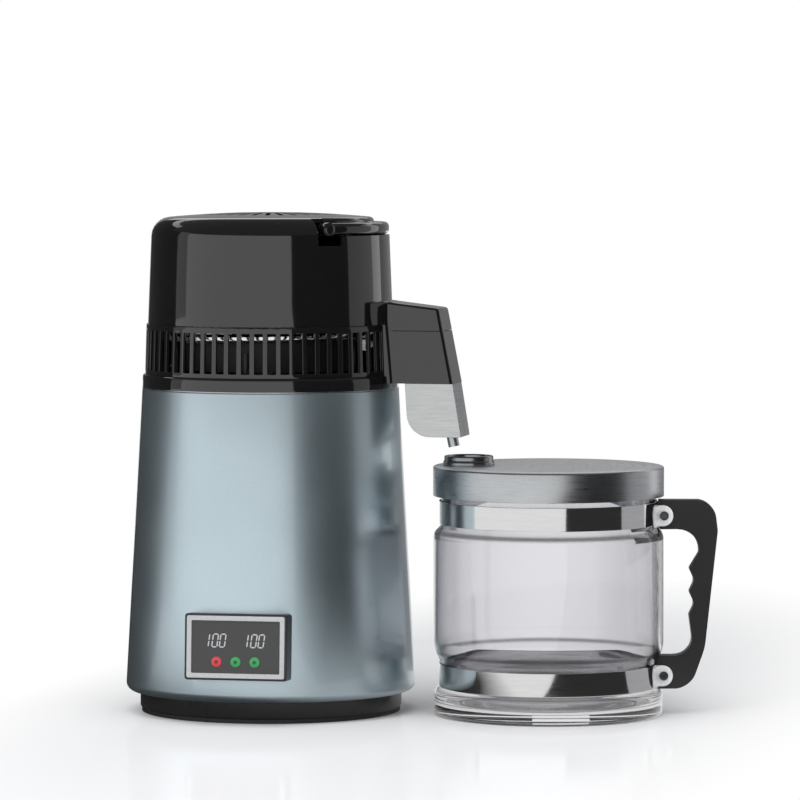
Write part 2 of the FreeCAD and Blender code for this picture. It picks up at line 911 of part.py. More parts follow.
def dome_core(inset):
    """The dome's form with the ledge all round it."""
    low = dome_bottom - (overrun if inset else 0)
    top = ledge_height - inset
    cone = head_cone(low, top, dome_radius(low) - inset, dome_radius(top) - inset)
    if not inset:
        cone = cone.makeFillet(ledge_edge_radius, [max(cone.Edges, key=lambda edge: edge.BoundBox.ZMin)])
    middle = crowned(disc(middle_radius - inset, low, crown_top + overrun), inset)
    if middle_edge_radius > inset:
        middle = middle.makeFillet(middle_edge_radius - inset, top_rim(middle, middle_radius - inset))
    return cone.fuse(middle)


def pivot_pockets(inset):
    """The two pockets round the ends of the carry handle."""
    half = pocket_half_width + inset
    pockets = []
    for angle in (pivot_angle, pivot_angle + 180):
        box = Part.makeBox(dome_foot_radius, 2 * half, crown_top,
                           Vector(middle_radius / 2, -half, pocket_bottom - inset))
        box.rotate(ORIGIN, UP, angle)
        pockets.append(box.cut(disc(middle_radius - inset, dome_bottom, 2 * crown_top)))
    return pockets


def dome_form(inset):
    return dome_half(inset).fuse(dome_core(inset)).cut(pivot_pockets(inset))


def dome_cover():
    body = dome_form(0).cut(dome_form(plastic_wall))
    boss = disc(boss_radius, fan_deck, crown_top - plastic_wall * boss_share, boss_circle)
    hole = disc(screw_radius, fan_deck - overrun, fan_deck + boss_radius * 2, boss_circle)
    bosses = around(boss, support_count, boss_start_angle)
    slot = plate(rectangle(intake_outer - intake_inner, intake_width, intake_width * round_end_share,
                           (intake_outer + intake_inner) / 2), crown_top - overrun / 2, crown_top + overrun)
    pins = [rod(handle_pin_radius, polar(dome_foot_radius, angle, pivot_height),
                polar(middle_radius - overrun / 2, angle, pivot_height)) for angle in (pivot_angle, pivot_angle + 180)]
    return body.fuse(bosses).cut(around(hole, support_count, boss_start_angle) + around(slot, intake_count) + pins)


# Carry handle and its two pins
handle_inner_radius = 75.5
handle_outer_radius = 85.3
handle_tall = 8.8
handle_corner = 3.4
handle_hub_radius = 4.8
handle_pin_radius = 2.0
pin_head_radius = 4.1
pin_head = 1.2


def carry_handle():
    low = pivot_height - handle_tall / 2
    bar = turned([
        (handle_inner_radius, low, handle_corner),
        (handle_outer_radius, low, handle_corner),
        (handle_outer_radius, low + handle_tall, handle_corner),
        (handle_inner_radius, low + handle_tall, handle_corner),
    ], 180, pivot_angle)
    hubs = []
    holes = []
    for angle in (pivot_angle, pivot_angle + 180):
        hubs.append(rod(handle_hub_radius, polar(handle_inner_radius + free_gap, angle, pivot_height),
                        polar(handle_outer_radius - free_gap, angle, pivot_height)))
        holes.append(rod(handle_pin_radius + pin_gap, polar(middle_radius, angle, pivot_height),
                         polar(dome_foot_radius, angle, pivot_height)))
    return joined([bar] + hubs).cut(holes)


def handle_pins():
    pins = []
    head_start = handle_outer_radius + fit_gap
    for angle in (pivot_angle, pivot_angle + 180):
        shank = rod(handle_pin_radius, polar(middle_radius - 2 * plastic_wall, angle, pivot_height),
                    polar(head_start + pin_head / 2, angle, pivot_height))
        head = rod(pin_head_radius, polar(head_start, angle, pivot_height),
                   polar(head_start + pin_head, angle, pivot_height))
        pins.append(joined([shank, head]))
    return group(pins)


# Fan under the dome's top
motor_radius = 21.0
motor_height = 24.0
motor_shaft_radius = 2.0
bracket_radius = 25.0
bracket_arm_width = 9.0
bracket_thickness = 2.0
fan_hub_radius = 11.0
fan_radius = 56.0
fan_hub_rise = 19.0
fan_hub_height = 14.0
fan_blade_count = 7
fan_blade_pitch = 32.0
blade_share = 0.9
fan_blade_thickness = 1.4
screw_head_radius = 2.8
screw_head = 1.6
motor_screw_length = 9.0

fan_hub_low = dome_bottom + fan_hub_rise


def fan_motor():
    body = disc(motor_radius, fan_deck, fan_deck + motor_height)
    shaft = disc(motor_shaft_radius, fan_hub_low + fan_hub_height / 4, fan_deck + motor_height / 2)
    return joined([body, shaft])


def motor_bracket():
    low = fan_deck - bracket_thickness
    ring = disc(bracket_radius, low, fan_deck)
    arm_corner = bracket_arm_width * round_end_share
    arm = plate(rectangle(boss_circle + boss_radius - motor_radius / 2, bracket_arm_width, arm_corner,
                          (boss_circle + boss_radius + motor_radius / 2) / 2), low, fan_deck)
    hole = disc(screw_radius, low - overrun, fan_deck + overrun, boss_circle)
    body = joined([ring] + around(arm, support_count, boss_start_angle))
    return body.cut(around(hole, support_count, boss_start_angle) + [disc(motor_shaft_radius + free_gap, 0, crown_top)])


def motor_screws():
    low = fan_deck - bracket_thickness
    head = disc(screw_head_radius, low - screw_head, low, boss_circle)
    shank = disc(screw_radius, low - screw_head, low + motor_screw_length, boss_circle)
    return group(around(joined([head, shank]), support_count, boss_start_angle))


def fan_blades():
    hub = disc(fan_hub_radius, fan_hub_low, fan_hub_low + fan_hub_height)
    middle = fan_hub_low + fan_hub_height / 2
    length = fan_radius - fan_hub_radius / 2
    chord = fan_hub_height / math.sin(math.radians(fan_blade_pitch)) * blade_share
    blade = Part.makeBox(length, chord, fan_blade_thickness,
                         Vector(fan_hub_radius / 2, -chord / 2, -fan_blade_thickness / 2))
    blade.rotate(ORIGIN, Vector(1, 0, 0), fan_blade_pitch)
    blade.translate(UP * middle)
    rim = disc(fan_radius, fan_hub_low, fan_hub_low + fan_hub_height)
    blades = [copy.common(rim) for copy in around(blade, fan_blade_count)]
    bore = disc(motor_shaft_radius + pin_gap, fan_hub_low + fan_hub_height / 4 - free_gap, crown_top)
    return joined([hub] + blades).cut(bore)


# Spout housing on the side of the head, with a cap over its filter chamber
spout_half_width = 17.0
spout_rise = 3.0
spout_split_tall = 38.8
spout_tall = 57.6
spout_end_tall = 53.6
spout_face_high_x = 89.3
spout_face_low_x = 94.1
spout_end_top_x = 127.6
spout_end_low_x = 138.0
spout_edge_radius = 3.6
spout_wall = 2.2
cap_edge_share = 0.8
pad_half_width = 26.5
pad_root_x = 62.0
pad_tall = 61.0
pad_wide_half_width = 36.0
pad_wide_rise = 43.6
pad_wide_tall = 10.9
pad_edge_radius = 3.0
cup_x = 112.0
cup_radius = 10.5
cup_wall = 1.0
cup_tall = 14.8
sachet_height = 8.0
tip_x = 135.4
tip_drop = 44.0
outlet_lean = 12.0
outlet_radius = 4.0
outlet_bore = 3.0
outlet_drop_length = 12.0
outlet_straight = 22.0

spout_low = casing_top + spout_rise
spout_split = spout_low + spout_split_tall
spout_high = spout_low + spout_tall
spout_end_high = spout_low + spout_end_tall
pad_top = spout_low + pad_tall
pad_wide_low = spout_low + pad_wide_rise
pad_wide_high = pad_wide_low + pad_wide_tall
tip_height = spout_low - tip_drop
cup_low = spout_low + spout_wall
cup_high = cup_low + cup_tall
end_slope = (spout_end_low_x - spout_end_top_x) / (spout_end_high - spout_low)
face_slope = (spout_face_low_x - spout_face_high_x) / (spout_high - spout_low)


def head_outside():
    """The space inside the outer surfaces of the head's band, vents and dome."""
    return turned([
        (0, casing_top - overrun),
        (band_radius, casing_top - overrun),
        (band_radius, vent_bottom),
        (vent_foot_radius, vent_bottom),
        (vent_top_radius, dome_bottom),
        (dome_foot_radius, dome_bottom),
        (dome_radius(crown_top), crown_top),
        (0, crown_top),
    ])


def face_x(height):
    """Where the spout leaves its pad, at a height."""
    return spout_face_high_x + (spout_high - height) * face_slope


def end_x(height):
    """The spout's outer end at a height."""
    return spout_end_top_x + (spout_end_high - height) * end_slope


def spout_side(low, high_inner, high_outer, inset, start_gap=0.0):
    """The spout seen from the side, between two heights, drawn in by a wall."""
    return [
        (face_x(low) + start_gap + inset, low),
        (face_x(high_inner) + start_gap + inset, high_inner),
        (end_x(high_outer) - inset, high_outer),
        (end_x(low) - inset, low),
    ]


def upright_end_edges(shape):
    """The long edges where the spout's sides meet its end."""
    limit = spout_face_low_x + overrun
    return [edge for edge in shape.Edges
            if edge.BoundBox.XMin > limit and edge.BoundBox.ZLength > spout_edge_radius]


def pad_solid():
    """The pad that spreads the spout's root over the head."""
    low = spout_low
    sections = []
    side = pad_half_width
    for height in (low, pad_top):
        nose = face_x(height)
        corners = [
            (pad_root_x, -side),
            (nose - plastic_wall * 2, -side),
            (nose, -spout_half_width - fit_gap),
            (nose, spout_half_width + fit_gap),
            (nose - plastic_wall * 2, side),
            (pad_root_x, side),
        ]
        wire = outline(corners, in_plan)
        wire.translate(UP * height)
        sections.append(wire)
    pad = Part.makeLoft(sections, True, True)
    top_edges = [edge for edge in pad.Edges if edge.BoundBox.ZMin > pad_top - fit_gap
                 and edge.BoundBox.XMax > spout_face_high_x - plastic_wall * 3]
    pad = pad.makeFillet(pad_edge_radius, [edge for edge in top_edges if edge.BoundBox.YLength < pad_half_width])
    side = pad_wide_half_width
    nose = spout_face_high_x - plastic_wall
    wide = plate([(pad_root_x, -side), (nose - 2 * plastic_wall, -side + plastic_wall),
                  (nose, -pad_half_width + plastic_wall), (nose, pad_half_width - plastic_wall),
                  (nose - 2 * plastic_wall, side - plastic_wall), (pad_root_x, side)],
                 pad_wide_low, pad_wide_high)
    return pad.fuse(wide)


def spout_shell(low, high_inner, high_outer, start_gap, floor, roof):
    """A hollow length of the spout, with a floor or a roof where given."""
    body = side_plate(spout_side(low, high_inner, high_outer, 0, start_gap), spout_half_width)
    body = body.makeFillet(spout_edge_radius, upright_end_edges(body))
    inner = side_plate(spout_side(low + (spout_wall if floor else -overrun),
                                  high_inner + (-spout_wall if roof else overrun),
                                  high_outer + (-spout_wall if roof else overrun), spout_wall, start_gap),
                       spout_half_width - spout_wall)
    return body.cut(inner)


def spout_housing():
    lower = spout_shell(spout_low, spout_split, spout_split, 0, True, False)
    pad = pad_solid().cut(head_outside())
    pad = max(pad.Solids, key=lambda solid: solid.CenterOfMass.x)
    body = joined([pad, lower])
    passage = rod(tube_radius + pin_gap, Vector(outlet_start, 0, outlet_height),
                  Vector(outlet_end, 0, outlet_height))
    return body.cut([passage, disc(outlet_radius + pin_gap, 0, spout_split, cup_x)])


def spout_cap():
    low = spout_split + free_gap
    body = spout_shell(low, spout_high, spout_end_high, free_gap, False, True)
    top = [edge for edge in body.Edges if edge.BoundBox.ZMin > spout_end_high - fit_gap
           and edge.BoundBox.XLength < fit_gap and edge.BoundBox.XMin > spout_end_top_x - fit_gap]
    return body.makeFillet(spout_wall * cap_edge_share, top) if top else body


def outlet_route():
    """The outlet tube's centre line, from the filter cup down to its slanted tip."""
    lean = math.radians(outlet_lean)
    tip = Vector(tip_x, 0, tip_height)
    return tangent_route([
        Vector(cup_x, 0, cup_low),
        Vector(cup_x, 0, cup_low - outlet_drop_length),
        tip + Vector(-math.sin(lean), 0, math.cos(lean)) * outlet_straight,
        tip,
    ])


def outlet_tube():
    return sweep_round(outlet_route(), outlet_radius).cut(sweep_round(outlet_route(), outlet_bore))


def filter_cup():
    body = disc(cup_radius, cup_low, cup_high, cup_x)
    body = body.cut(disc(cup_radius - cup_wall, cup_low + cup_wall, cup_high + overrun, cup_x))
    return body.cut(disc(outlet_bore, 0, crown_top, cup_x))


def charcoal_sachet():
    low = cup_low + cup_wall
    return turned([(0, low), (cup_radius - cup_wall - free_gap, low, cup_wall),
                   (cup_radius - cup_wall - free_gap, low + sachet_height, 3 * cup_wall),
                   (0, low + sachet_height)]).translated(Vector(cup_x, 0, 0))


# Nozzle: the brushed metal shroud under the spout
nozzle_half_width = 15.2
nozzle_drop = 38.2
nozzle_inner_x = 102.6
nozzle_corner_x = 105.0
nozzle_corner_radius = 16.5
nozzle_end_low_x = 143.6
nozzle_wall = 1.4
nozzle_edge_radius = 2.6

nozzle_low = spout_low - nozzle_drop


def nozzle_side(inset, high):
    """The nozzle seen from the side, drawn in by a wall."""
    return [
        (nozzle_inner_x + inset, high),
        (nozzle_corner_x + inset, nozzle_low + inset, nozzle_corner_radius - inset),
        (nozzle_end_low_x - inset, nozzle_low + inset),
        (end_x(spout_low) - spout_wall / 4 - inset, high),
    ]


def nozzle_shell():
    body = side_plate(nozzle_side(0, spout_low), nozzle_half_width)
    edges = [edge for edge in body.Edges if edge.BoundBox.YLength < fit_gap
             and not (edge.BoundBox.ZMin > spout_low - fit_gap)]
    body = body.makeFillet(nozzle_edge_radius, edges)
    inner = side_plate(nozzle_side(nozzle_wall, spout_low + overrun), nozzle_half_width - nozzle_wall)
    lean = math.radians(outlet_lean)
    way = Vector(-math.sin(lean), 0, math.cos(lean))
    tip = Vector(tip_x, 0, tip_height)
    return body.cut([inner, rod(outlet_radius + pin_gap, tip, tip + way * outlet_straight / 2)])


# Jug, drawn about its own axis with its handle along +X, then set beside the machine
glass_wall = 2.8
glass_floor = 7.0
jug_foot_radius = 81.7
jug_foot_top = 17.6
jug_waist_radius = 77.4
jug_waist_low = 19.6
jug_waist_high = 38.0
jug_barrel_radius = 82.4
jug_barrel_low = 48.0
jug_barrel_high = 130.0
jug_neck_radius = 76.7
jug_neck_low = 136.0
jug_rim_height = 172.0
jug_corner = 5.0
jug_foot_corner = 3.0
jug_push_up = 2.0
jug_push_up_radius = 62.0


def by_jug(shape):
    """The shape, moved from the jug's own frame to its place beside the machine."""
    return placed(shape, Placement(Vector(jug_x, jug_y, 0), Rotation(UP, jug_turn)))


def jug_glass():
    wall = glass_wall
    return by_jug(turned([
        (0, jug_push_up),
        (jug_push_up_radius, jug_push_up),
        (jug_push_up_radius + jug_foot_corner, 0),
        (jug_foot_radius, 0, jug_foot_corner),
        (jug_foot_radius, jug_foot_top, jug_foot_corner),
        (jug_waist_radius, jug_waist_low + wall / 4, wall / 4),
        (jug_waist_radius, jug_waist_high, jug_corner / 2),
        (jug_barrel_radius, jug_barrel_low, jug_corner),
        (jug_barrel_radius, jug_barrel_high, jug_corner / 2),
        (jug_neck_radius, jug_neck_low, jug_corner / 2),
        (jug_neck_radius, jug_rim_height, wall * round_end_share),
        (jug_neck_radius - wall, jug_rim_height, wall * round_end_share),
        (jug_neck_radius - wall, jug_neck_low - wall / 4, jug_corner / 2),
        (jug_barrel_radius - wall, jug_barrel_high - wall / 2, jug_corner / 2),
        (jug_barrel_radius - wall, jug_barrel_low + wall / 4, jug_corner),
        (jug_waist_radius - wall, jug_waist_high + wall / 4, jug_corner / 2),
        (jug_waist_radius - wall, glass_floor, jug_corner),
        (0, glass_floor),
    ]))


# Steel bands, whose ears clamp the jug's handle
band_gap = 0.3
strap_thickness = 0.7
strap_height = 16.6
upper_strap_low = 136.8
lower_strap_low = 20.4
upper_ear_centre = 144.1
lower_ear_centre = 29.4
ear_tall = 15.0
ear_reach = 89.8
ear_round_share = 0.98
ear_thickness = 1.3
handle_half_width = 7.0


def strap(radius, low, ear_centre):
    """A band round the glass, open at the handle, with two ears that reach past its ends."""
    inner = radius + band_gap
    ring = disc(inner + strap_thickness, low, low + strap_height)
    ring = ring.cut(disc(inner, low - overrun, low + strap_height + overrun))
    opening = Part.makeBox(2 * inner, 2 * handle_half_width + 2 * fit_gap, 2 * strap_height,
                           Vector(0, -handle_half_width - fit_gap, low - strap_height / 2))
    ring = ring.cut(opening)
    start = math.sqrt(inner ** 2 - (handle_half_width + fit_gap) ** 2)
    half = ear_tall / 2
    face = Part.Face(outline([
        (start, ear_centre - half),
        (ear_reach, ear_centre - half, half * ear_round_share),
        (ear_reach, ear_centre + half, half * ear_round_share),
        (start, ear_centre + half),
    ], in_section))
    shapes = [ring]
    for side in (-1, 1):
        y = side * (handle_half_width + fit_gap)
        ear = face.extrude(Vector(0, side * ear_thickness, 0))
        shapes.append(ear.translated(Vector(0, y, 0)))
    return by_jug(joined(shapes).cut(ear_bore(ear_centre)))


def ear_bore(ear_centre):
    """The hole for a clamping screw, across the ears and the handle."""
    reach = handle_half_width + overrun
    x = ear_screw_x
    return rod(ear_screw_radius + pin_gap, Vector(x, -reach, ear_centre), Vector(x, reach, ear_centre))


ear_screw_x = 82.4
ear_screw_radius = 2.0
ear_screw_head_radius = 3.2
ear_screw_head = 2.0
ear_nut_radius = 4.0
ear_nut = 2.4
hex_key_radius = 1.4


def upper_band():
    return strap(jug_neck_radius, upper_strap_low, upper_ear_centre)


def lower_band():
    return strap(jug_waist_radius, lower_strap_low, lower_ear_centre)


def six_sided(radius, x, front, back, height):
    """A hexagonal solid along Y."""
    corners = []
    for i in range(6):
        turn = math.radians(60 * i)
        corners.append((x + radius * math.cos(turn), height + radius * math.sin(turn)))
    face = Part.Face(outline(corners, in_section))
    face.translate(Vector(0, front, 0))
    return face.extrude(Vector(0, back - front, 0))


def band_screws():
    screws = []
    outside = handle_half_width + fit_gap + ear_thickness
    for centre in (upper_ear_centre, lower_ear_centre):
        head = rod(ear_screw_head_radius, Vector(ear_screw_x, -outside - ear_screw_head, centre),
                   Vector(ear_screw_x, -outside, centre))
        key = six_sided(hex_key_radius, ear_screw_x, -outside - overrun, -outside - ear_screw_head / 3, centre)
        shank = rod(ear_screw_radius, Vector(ear_screw_x, -outside, centre),
                    Vector(ear_screw_x, outside + ear_nut, centre))
        screws.append(by_jug(joined([head.cut(key), shank])))
    return group(screws)


def band_nuts():
    nuts = []
    outside = handle_half_width + fit_gap + ear_thickness
    for centre in (upper_ear_centre, lower_ear_centre):
        nut = six_sided(ear_nut_radius, ear_screw_x, outside, outside + ear_nut, centre)
        nuts.append(by_jug(nut.cut(rod(ear_screw_radius + pin_gap, Vector(ear_screw_x, 0, centre),
                                       Vector(ear_screw_x, 2 * outside, centre)))))
    return group(nuts)


# Jug handle, with four hollows for the fingers
handle_root_x = 78.6
grip_high = 156.8
grip_low = 19.4
grip_top_x = 122.0
grip_bottom_x = 101.0
grip_inner_x = 103.6
grip_arm_low = 133.0
grip_arm_high = 44.0
grip_end_edge = 1.0
grip_shoulder_in = 3.0
grip_shoulder_radius = 14.0
grip_knuckle_drop = 24.0
grip_knuckle_radius = 8.0
grip_waist_in = 9.5
grip_waist_height = 48.0
grip_waist_radius = 16.0
grip_heel_radius = 8.0
grip_gap_x = 94.0
grip_gap_radius = 8.0
grip_thumb_height = 62.0
grip_thumb_radius = 10.0
finger_radius = 6.0
grip_throat_out = 1.0
grip_throat_rise = 10.0
grip_throat_radius = 9.0
grip_arm_radius = 12.0
finger_pitch = 17.3
finger_depth = 3.0
finger_top = 108.4
finger_count = 3


def jug_handle():
    lobe_x = grip_inner_x
    corners = [
        (handle_root_x, grip_high, grip_end_edge),
        (grip_top_x - grip_shoulder_in, grip_high, grip_shoulder_radius),
        (grip_top_x, grip_high - grip_knuckle_drop, grip_knuckle_radius),
        (grip_top_x - grip_waist_in, grip_waist_height, grip_waist_radius),
        (grip_bottom_x, grip_low, grip_heel_radius),
        (handle_root_x, grip_low, grip_end_edge),
        (handle_root_x, grip_arm_high, grip_end_edge),
        (grip_gap_x, grip_arm_high, grip_gap_radius),
        (lobe_x, grip_thumb_height, grip_thumb_radius),
        (lobe_x - finger_depth, finger_top - finger_pitch * finger_count + finger_pitch, grip_end_edge),
    ]
    for i in range(finger_count - 1):
        low = finger_top - finger_pitch * (finger_count - 1 - i)
        corners.append((lobe_x, low + finger_pitch / 2, finger_radius))
        corners.append((lobe_x - finger_depth, low + finger_pitch, grip_end_edge))
    corners += [
        (lobe_x + grip_throat_out, finger_top + grip_throat_rise, grip_throat_radius),
        (lobe_x - grip_throat_out, grip_arm_low, grip_arm_radius),
        (handle_root_x, grip_arm_low, grip_end_edge),
    ]
    body = side_plate(corners, handle_half_width)
    barrel = disc(jug_barrel_radius + free_gap, jug_waist_high + free_gap, jug_barrel_high)
    return by_jug(body.cut([barrel, ear_bore(upper_ear_centre), ear_bore(lower_ear_centre)]))


# Jug lid with its inlet
jug_lid_radius = 82.6
jug_lid_low = 157.0
jug_lid_top = 178.2
jug_lid_wall = 1.0
jug_lid_corner = 1.6
gasket_outer_gap = 0.4
gasket_width = 8.0
collar_x = -57.0
collar_radius = 18.4
collar_bore = 15.0
collar_height = 7.4
collar_edge = 1.4
collar_bore_edge = 1.0
collar_flange = 1.6
inlet_radius = 12.5
strainer_radius = 11.2
strainer_wall = 0.8
strainer_depth = 12.0
strainer_hole = 0.7
strainer_row = 4.0


def jug_lid():
    inner = jug_lid_radius - jug_lid_wall
    body = turned([
        (0, jug_lid_top),
        (jug_lid_radius, jug_lid_top, jug_lid_corner),
        (jug_lid_radius, jug_lid_low),
        (inner, jug_lid_low),
        (inner, jug_lid_top - jug_lid_wall),
        (0, jug_lid_top - jug_lid_wall),
    ])
    return by_jug(body.cut(disc(inlet_radius, 0, crown_top, collar_x)))


def lid_gasket():
    top = jug_lid_top - jug_lid_wall
    outer = jug_lid_radius - jug_lid_wall - gasket_outer_gap
    body = disc(outer, jug_rim_height + free_gap, top)
    body = body.cut(disc(jug_neck_radius - gasket_width, 0, crown_top))
    return by_jug(body)


def inlet_collar():
    low = jug_lid_top
    floor = low + collar_flange
    body = turned([
        (inlet_radius, low),
        (collar_radius, low),
        (collar_radius, low + collar_height, collar_edge),
        (collar_bore, low + collar_height, collar_bore_edge),
        (collar_bore, floor),
        (inlet_radius, floor),
    ])
    return by_jug(body.translated(Vector(collar_x, 0, 0)))


def strainer_cup():
    floor = jug_lid_top + collar_flange
    rim = collar_bore - free_gap
    inner = strainer_radius - strainer_wall
    body = turned([
        (0, floor - strainer_depth),
        (strainer_radius, floor - strainer_depth, 2 * strainer_wall),
        (strainer_radius, floor),
        (rim, floor),
        (rim, floor + strainer_wall),
        (inner, floor + strainer_wall),
        (inner, floor - strainer_depth + strainer_wall, strainer_wall),
        (0, floor - strainer_depth + strainer_wall),
    ])
    holes = around(disc(strainer_hole, 0, crown_top, strainer_row), 6)
    holes += around(disc(strainer_hole, 0, crown_top, 2 * strainer_row), 12)
    return by_jug(body.cut(holes).translated(Vector(collar_x, 0, 0)))


PIECES = [
    foot_ring, base_ring, bottom_cover, cover_screws, outer_casing, boiler, heater_plate, heater_element,
    heater_clamp, thermostat, thermal_cutout, panel_housing, panel_frame, display_window, display_lamps,
    control_board, power_button, down_button, up_button, power_inlet, inlet_pins, inlet_screws, fan_socket,
    wiring_loom, head_base, fan_plug, condenser_lid, lid_seal, condenser_coil, coil_supports, vent_ring,
    dome_cover, carry_handle, handle_pins, fan_motor, motor_bracket, motor_screws, fan_blades, spout_housing,
    spout_cap, filter_cup, charcoal_sachet, outlet_tube, nozzle_shell, jug_glass, upper_band, lower_band,
    band_screws, band_nuts, jug_handle, jug_lid, lid_gasket, inlet_collar, strainer_cup,
]

os.makedirs("parts", exist_ok=True)
for piece in PIECES:
    shape = piece()
    shape.exportStep("parts/" + piece.__name__ + ".step")
    box = shape.BoundBox
    print(piece.__name__, len(shape.Solids), "valid" if shape.isValid() else "INVALID",
          round(shape.Volume), [round(v, 1) for v in (box.XMin, box.XMax, box.YMin, box.YMax, box.ZMin, box.ZMax)])
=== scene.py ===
# %% [markdown]
# # A glass water distiller
#
# The machine boils water in a steel boiler, a fan cools the coil in its head, and
# the distilled water drips from the spout into a glass jug that stands beside it.
# This notebook dresses the solids that were worked out before: it loads them, puts
# a finished piece in the place of every form that shows, and gives the rest a
# proper finish. Everything is in metres and every piece stays where its solid is.

# %% Load the solids
import math
import bmesh
import bpy
from mathutils import Matrix, Vector


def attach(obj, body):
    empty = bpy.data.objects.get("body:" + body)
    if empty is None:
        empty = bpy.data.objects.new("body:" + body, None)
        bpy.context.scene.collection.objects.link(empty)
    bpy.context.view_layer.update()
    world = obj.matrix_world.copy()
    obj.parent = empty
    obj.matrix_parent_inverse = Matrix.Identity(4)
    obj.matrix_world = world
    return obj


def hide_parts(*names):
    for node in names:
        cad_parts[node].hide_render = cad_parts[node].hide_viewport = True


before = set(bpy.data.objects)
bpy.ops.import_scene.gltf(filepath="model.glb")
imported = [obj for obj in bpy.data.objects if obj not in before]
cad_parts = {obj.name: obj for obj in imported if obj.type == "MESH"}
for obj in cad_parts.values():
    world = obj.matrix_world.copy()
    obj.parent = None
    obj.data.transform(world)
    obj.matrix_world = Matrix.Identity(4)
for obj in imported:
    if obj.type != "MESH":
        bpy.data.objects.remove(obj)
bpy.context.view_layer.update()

MM = 0.001
WHITE = (1.0, 1.0, 1.0, 1.0)

# %% [markdown]
# ## The camera
#
# The photograph was taken from some three and a half metres away with a long lens,
# a little above the rim of the jug. A long lens keeps upright sides nearly
# parallel, so the lens is set first and the distance follows from it.

# %% The camera
def aim(thing, target):
    """Turns a lamp or a camera to look at a point."""
    way = Vector(target) - thing.location
    thing.rotation_euler = way.to_track_quat("-Z", "Y").to_euler()


bpy.ops.object.camera_add(location=(0.8781, -3.3893, 0.410))
camera = bpy.context.object
camera.name = "studio_camera"
camera.data.lens = 218.75
camera.data.sensor_width = 36.0
camera.data.clip_end = 100.0
aim(camera, (0.0908, 0.0210, 0.2236))
bpy.context.scene.camera = camera
bpy.context.scene.view_settings.view_transform = "Standard"
print("camera", round(camera.location.length, 3), "m from the machine")

# %% [markdown]
# A material or a world is a tree of nodes. Two small functions keep the trees short:
# one adds a node with the values of its inputs, the other joins outputs to inputs.

# %% Nodes and links
def give(node, inputs):
    """Sets the values of a node's inputs."""
    for name, value in inputs.items():
        node.inputs[name].default_value = value


def add(tree, kind, inputs=None, **settings):
    """A new shader node with its settings and the values of its inputs."""
    node = tree.nodes.new("ShaderNode" + kind)
    for name, value in settings.items():
        setattr(node, name, value)
    give(node, inputs or {})
    return node


def wire(tree, *links):
    """Joins nodes: each link is (node, its output, node, its input)."""
    for start, out, end, into in links:
        tree.links.new(start.outputs[out], end.inputs[into])


# %% [markdown]
# ## The room
#
# Everything stands on a plain white floor that runs out into a white room. The
# room is white for the eye, for reflections and through glass, and dimmer for the
# light that it throws on the object, so that the lamps do the modelling. Polished
# metal and black plastic only show what is round them, so dark screens stand
# left and right, outside the picture, and give them their dark sides.

# %% The white room
world = bpy.data.worlds.new("white_room")
bpy.context.scene.world = world
world.use_nodes = True
tree = world.node_tree
tree.nodes.clear()
light_path = add(tree, "LightPath")
seen = add(tree, "Math", operation="MAXIMUM")
seen_through = add(tree, "Math", operation="MAXIMUM")
bright = add(tree, "Background", {"Color": WHITE, "Strength": 1.0})
dim = add(tree, "Background", {"Color": (0.95, 0.97, 1.0, 1.0), "Strength": 0.55})
either = add(tree, "MixShader")
world_out = add(tree, "OutputWorld")
wire(tree, (light_path, "Is Camera Ray", seen, 0), (light_path, "Is Glossy Ray", seen, 1),
     (seen, 0, seen_through, 0), (light_path, "Is Transmission Ray", seen_through, 1),
     (seen_through, 0, either, "Fac"), (dim, 0, either, 1), (bright, 0, either, 2),
     (either, 0, world_out, "Surface"))

# %% [markdown]
# Every operator works on what is selected, so each function that makes a piece first
# leaves edit mode and selects nothing. A board is a plane scaled to its size, and a
# new material starts from the Principled shader.

# %% Boards and materials
def clear():
    """Leaves edit mode with nothing selected, so that an operator meets only its own piece."""
    if bpy.context.mode != "OBJECT":
        bpy.ops.object.mode_set(mode="OBJECT")
    bpy.ops.object.select_all(action="DESELECT")


def studio_board(name, size):
    """A flat board of the studio, its place held in its mesh."""
    clear()
    bpy.ops.mesh.primitive_plane_add(size=1.0)
    board = bpy.context.object
    board.name = name
    board.scale = (size[0], size[1], 1.0)
    bpy.ops.object.transform_apply(location=True, rotation=True, scale=True)
    return board


def paint(name):
    """A new material, its node tree and its shader."""
    made = bpy.data.materials.new(name)
    made.use_nodes = True
    shader = made.node_tree.nodes["Principled BSDF"]
    return made, made.node_tree, shader


# %% [markdown]
# The floor is plain white with the faintest polish, which is why the machine and
# the jug are mirrored in it for a hand's breadth and no more. For the eye it is
# lifted to white with a little light of its own, and it keeps the soft shadow.
# Seen in reflections, the floor near the object is painted dark, a painted shade,
# and seen through the glass it glows white, painted light over the jug's shadow.

# %% The floor
floor = studio_board("floor", (30.0, 30.0))
floor_finish, tree, shader = paint("floor_white")
tree.nodes.remove(shader)
plain = add(tree, "BsdfDiffuse", {"Color": (0.73, 0.73, 0.735, 1.0)})
polish = add(tree, "BsdfGlossy", {"Color": WHITE, "Roughness": 0.1})
surface = add(tree, "MixShader", {"Fac": 0.18})
lift = add(tree, "Emission", {"Color": WHITE, "Strength": 0.04})
lifted = add(tree, "AddShader")
by_eye = add(tree, "MixShader")
eye = add(tree, "LightPath")
# Painted light: the floor seen through glass glows mostly white, in place of the shadow under the jug.
in_glass = add(tree, "Math", {1: 0.5}, operation="GREATER_THAN")
outside = add(tree, "Math", operation="SUBTRACT", use_clamp=True)
painted_glow_through_glass = add(tree, "Math", {1: 0.8}, operation="MULTIPLY")
white_part = add(tree, "Math", operation="MAXIMUM")
eye_or_glass = add(tree, "Math", operation="MAXIMUM")
spot = add(tree, "TexCoord")
spread = add(tree, "Mapping", {"Location": (-0.36, 0.0, 0.0), "Scale": (3.6, 1.0, 1.0)})
reach = add(tree, "VectorMath", operation="LENGTH")
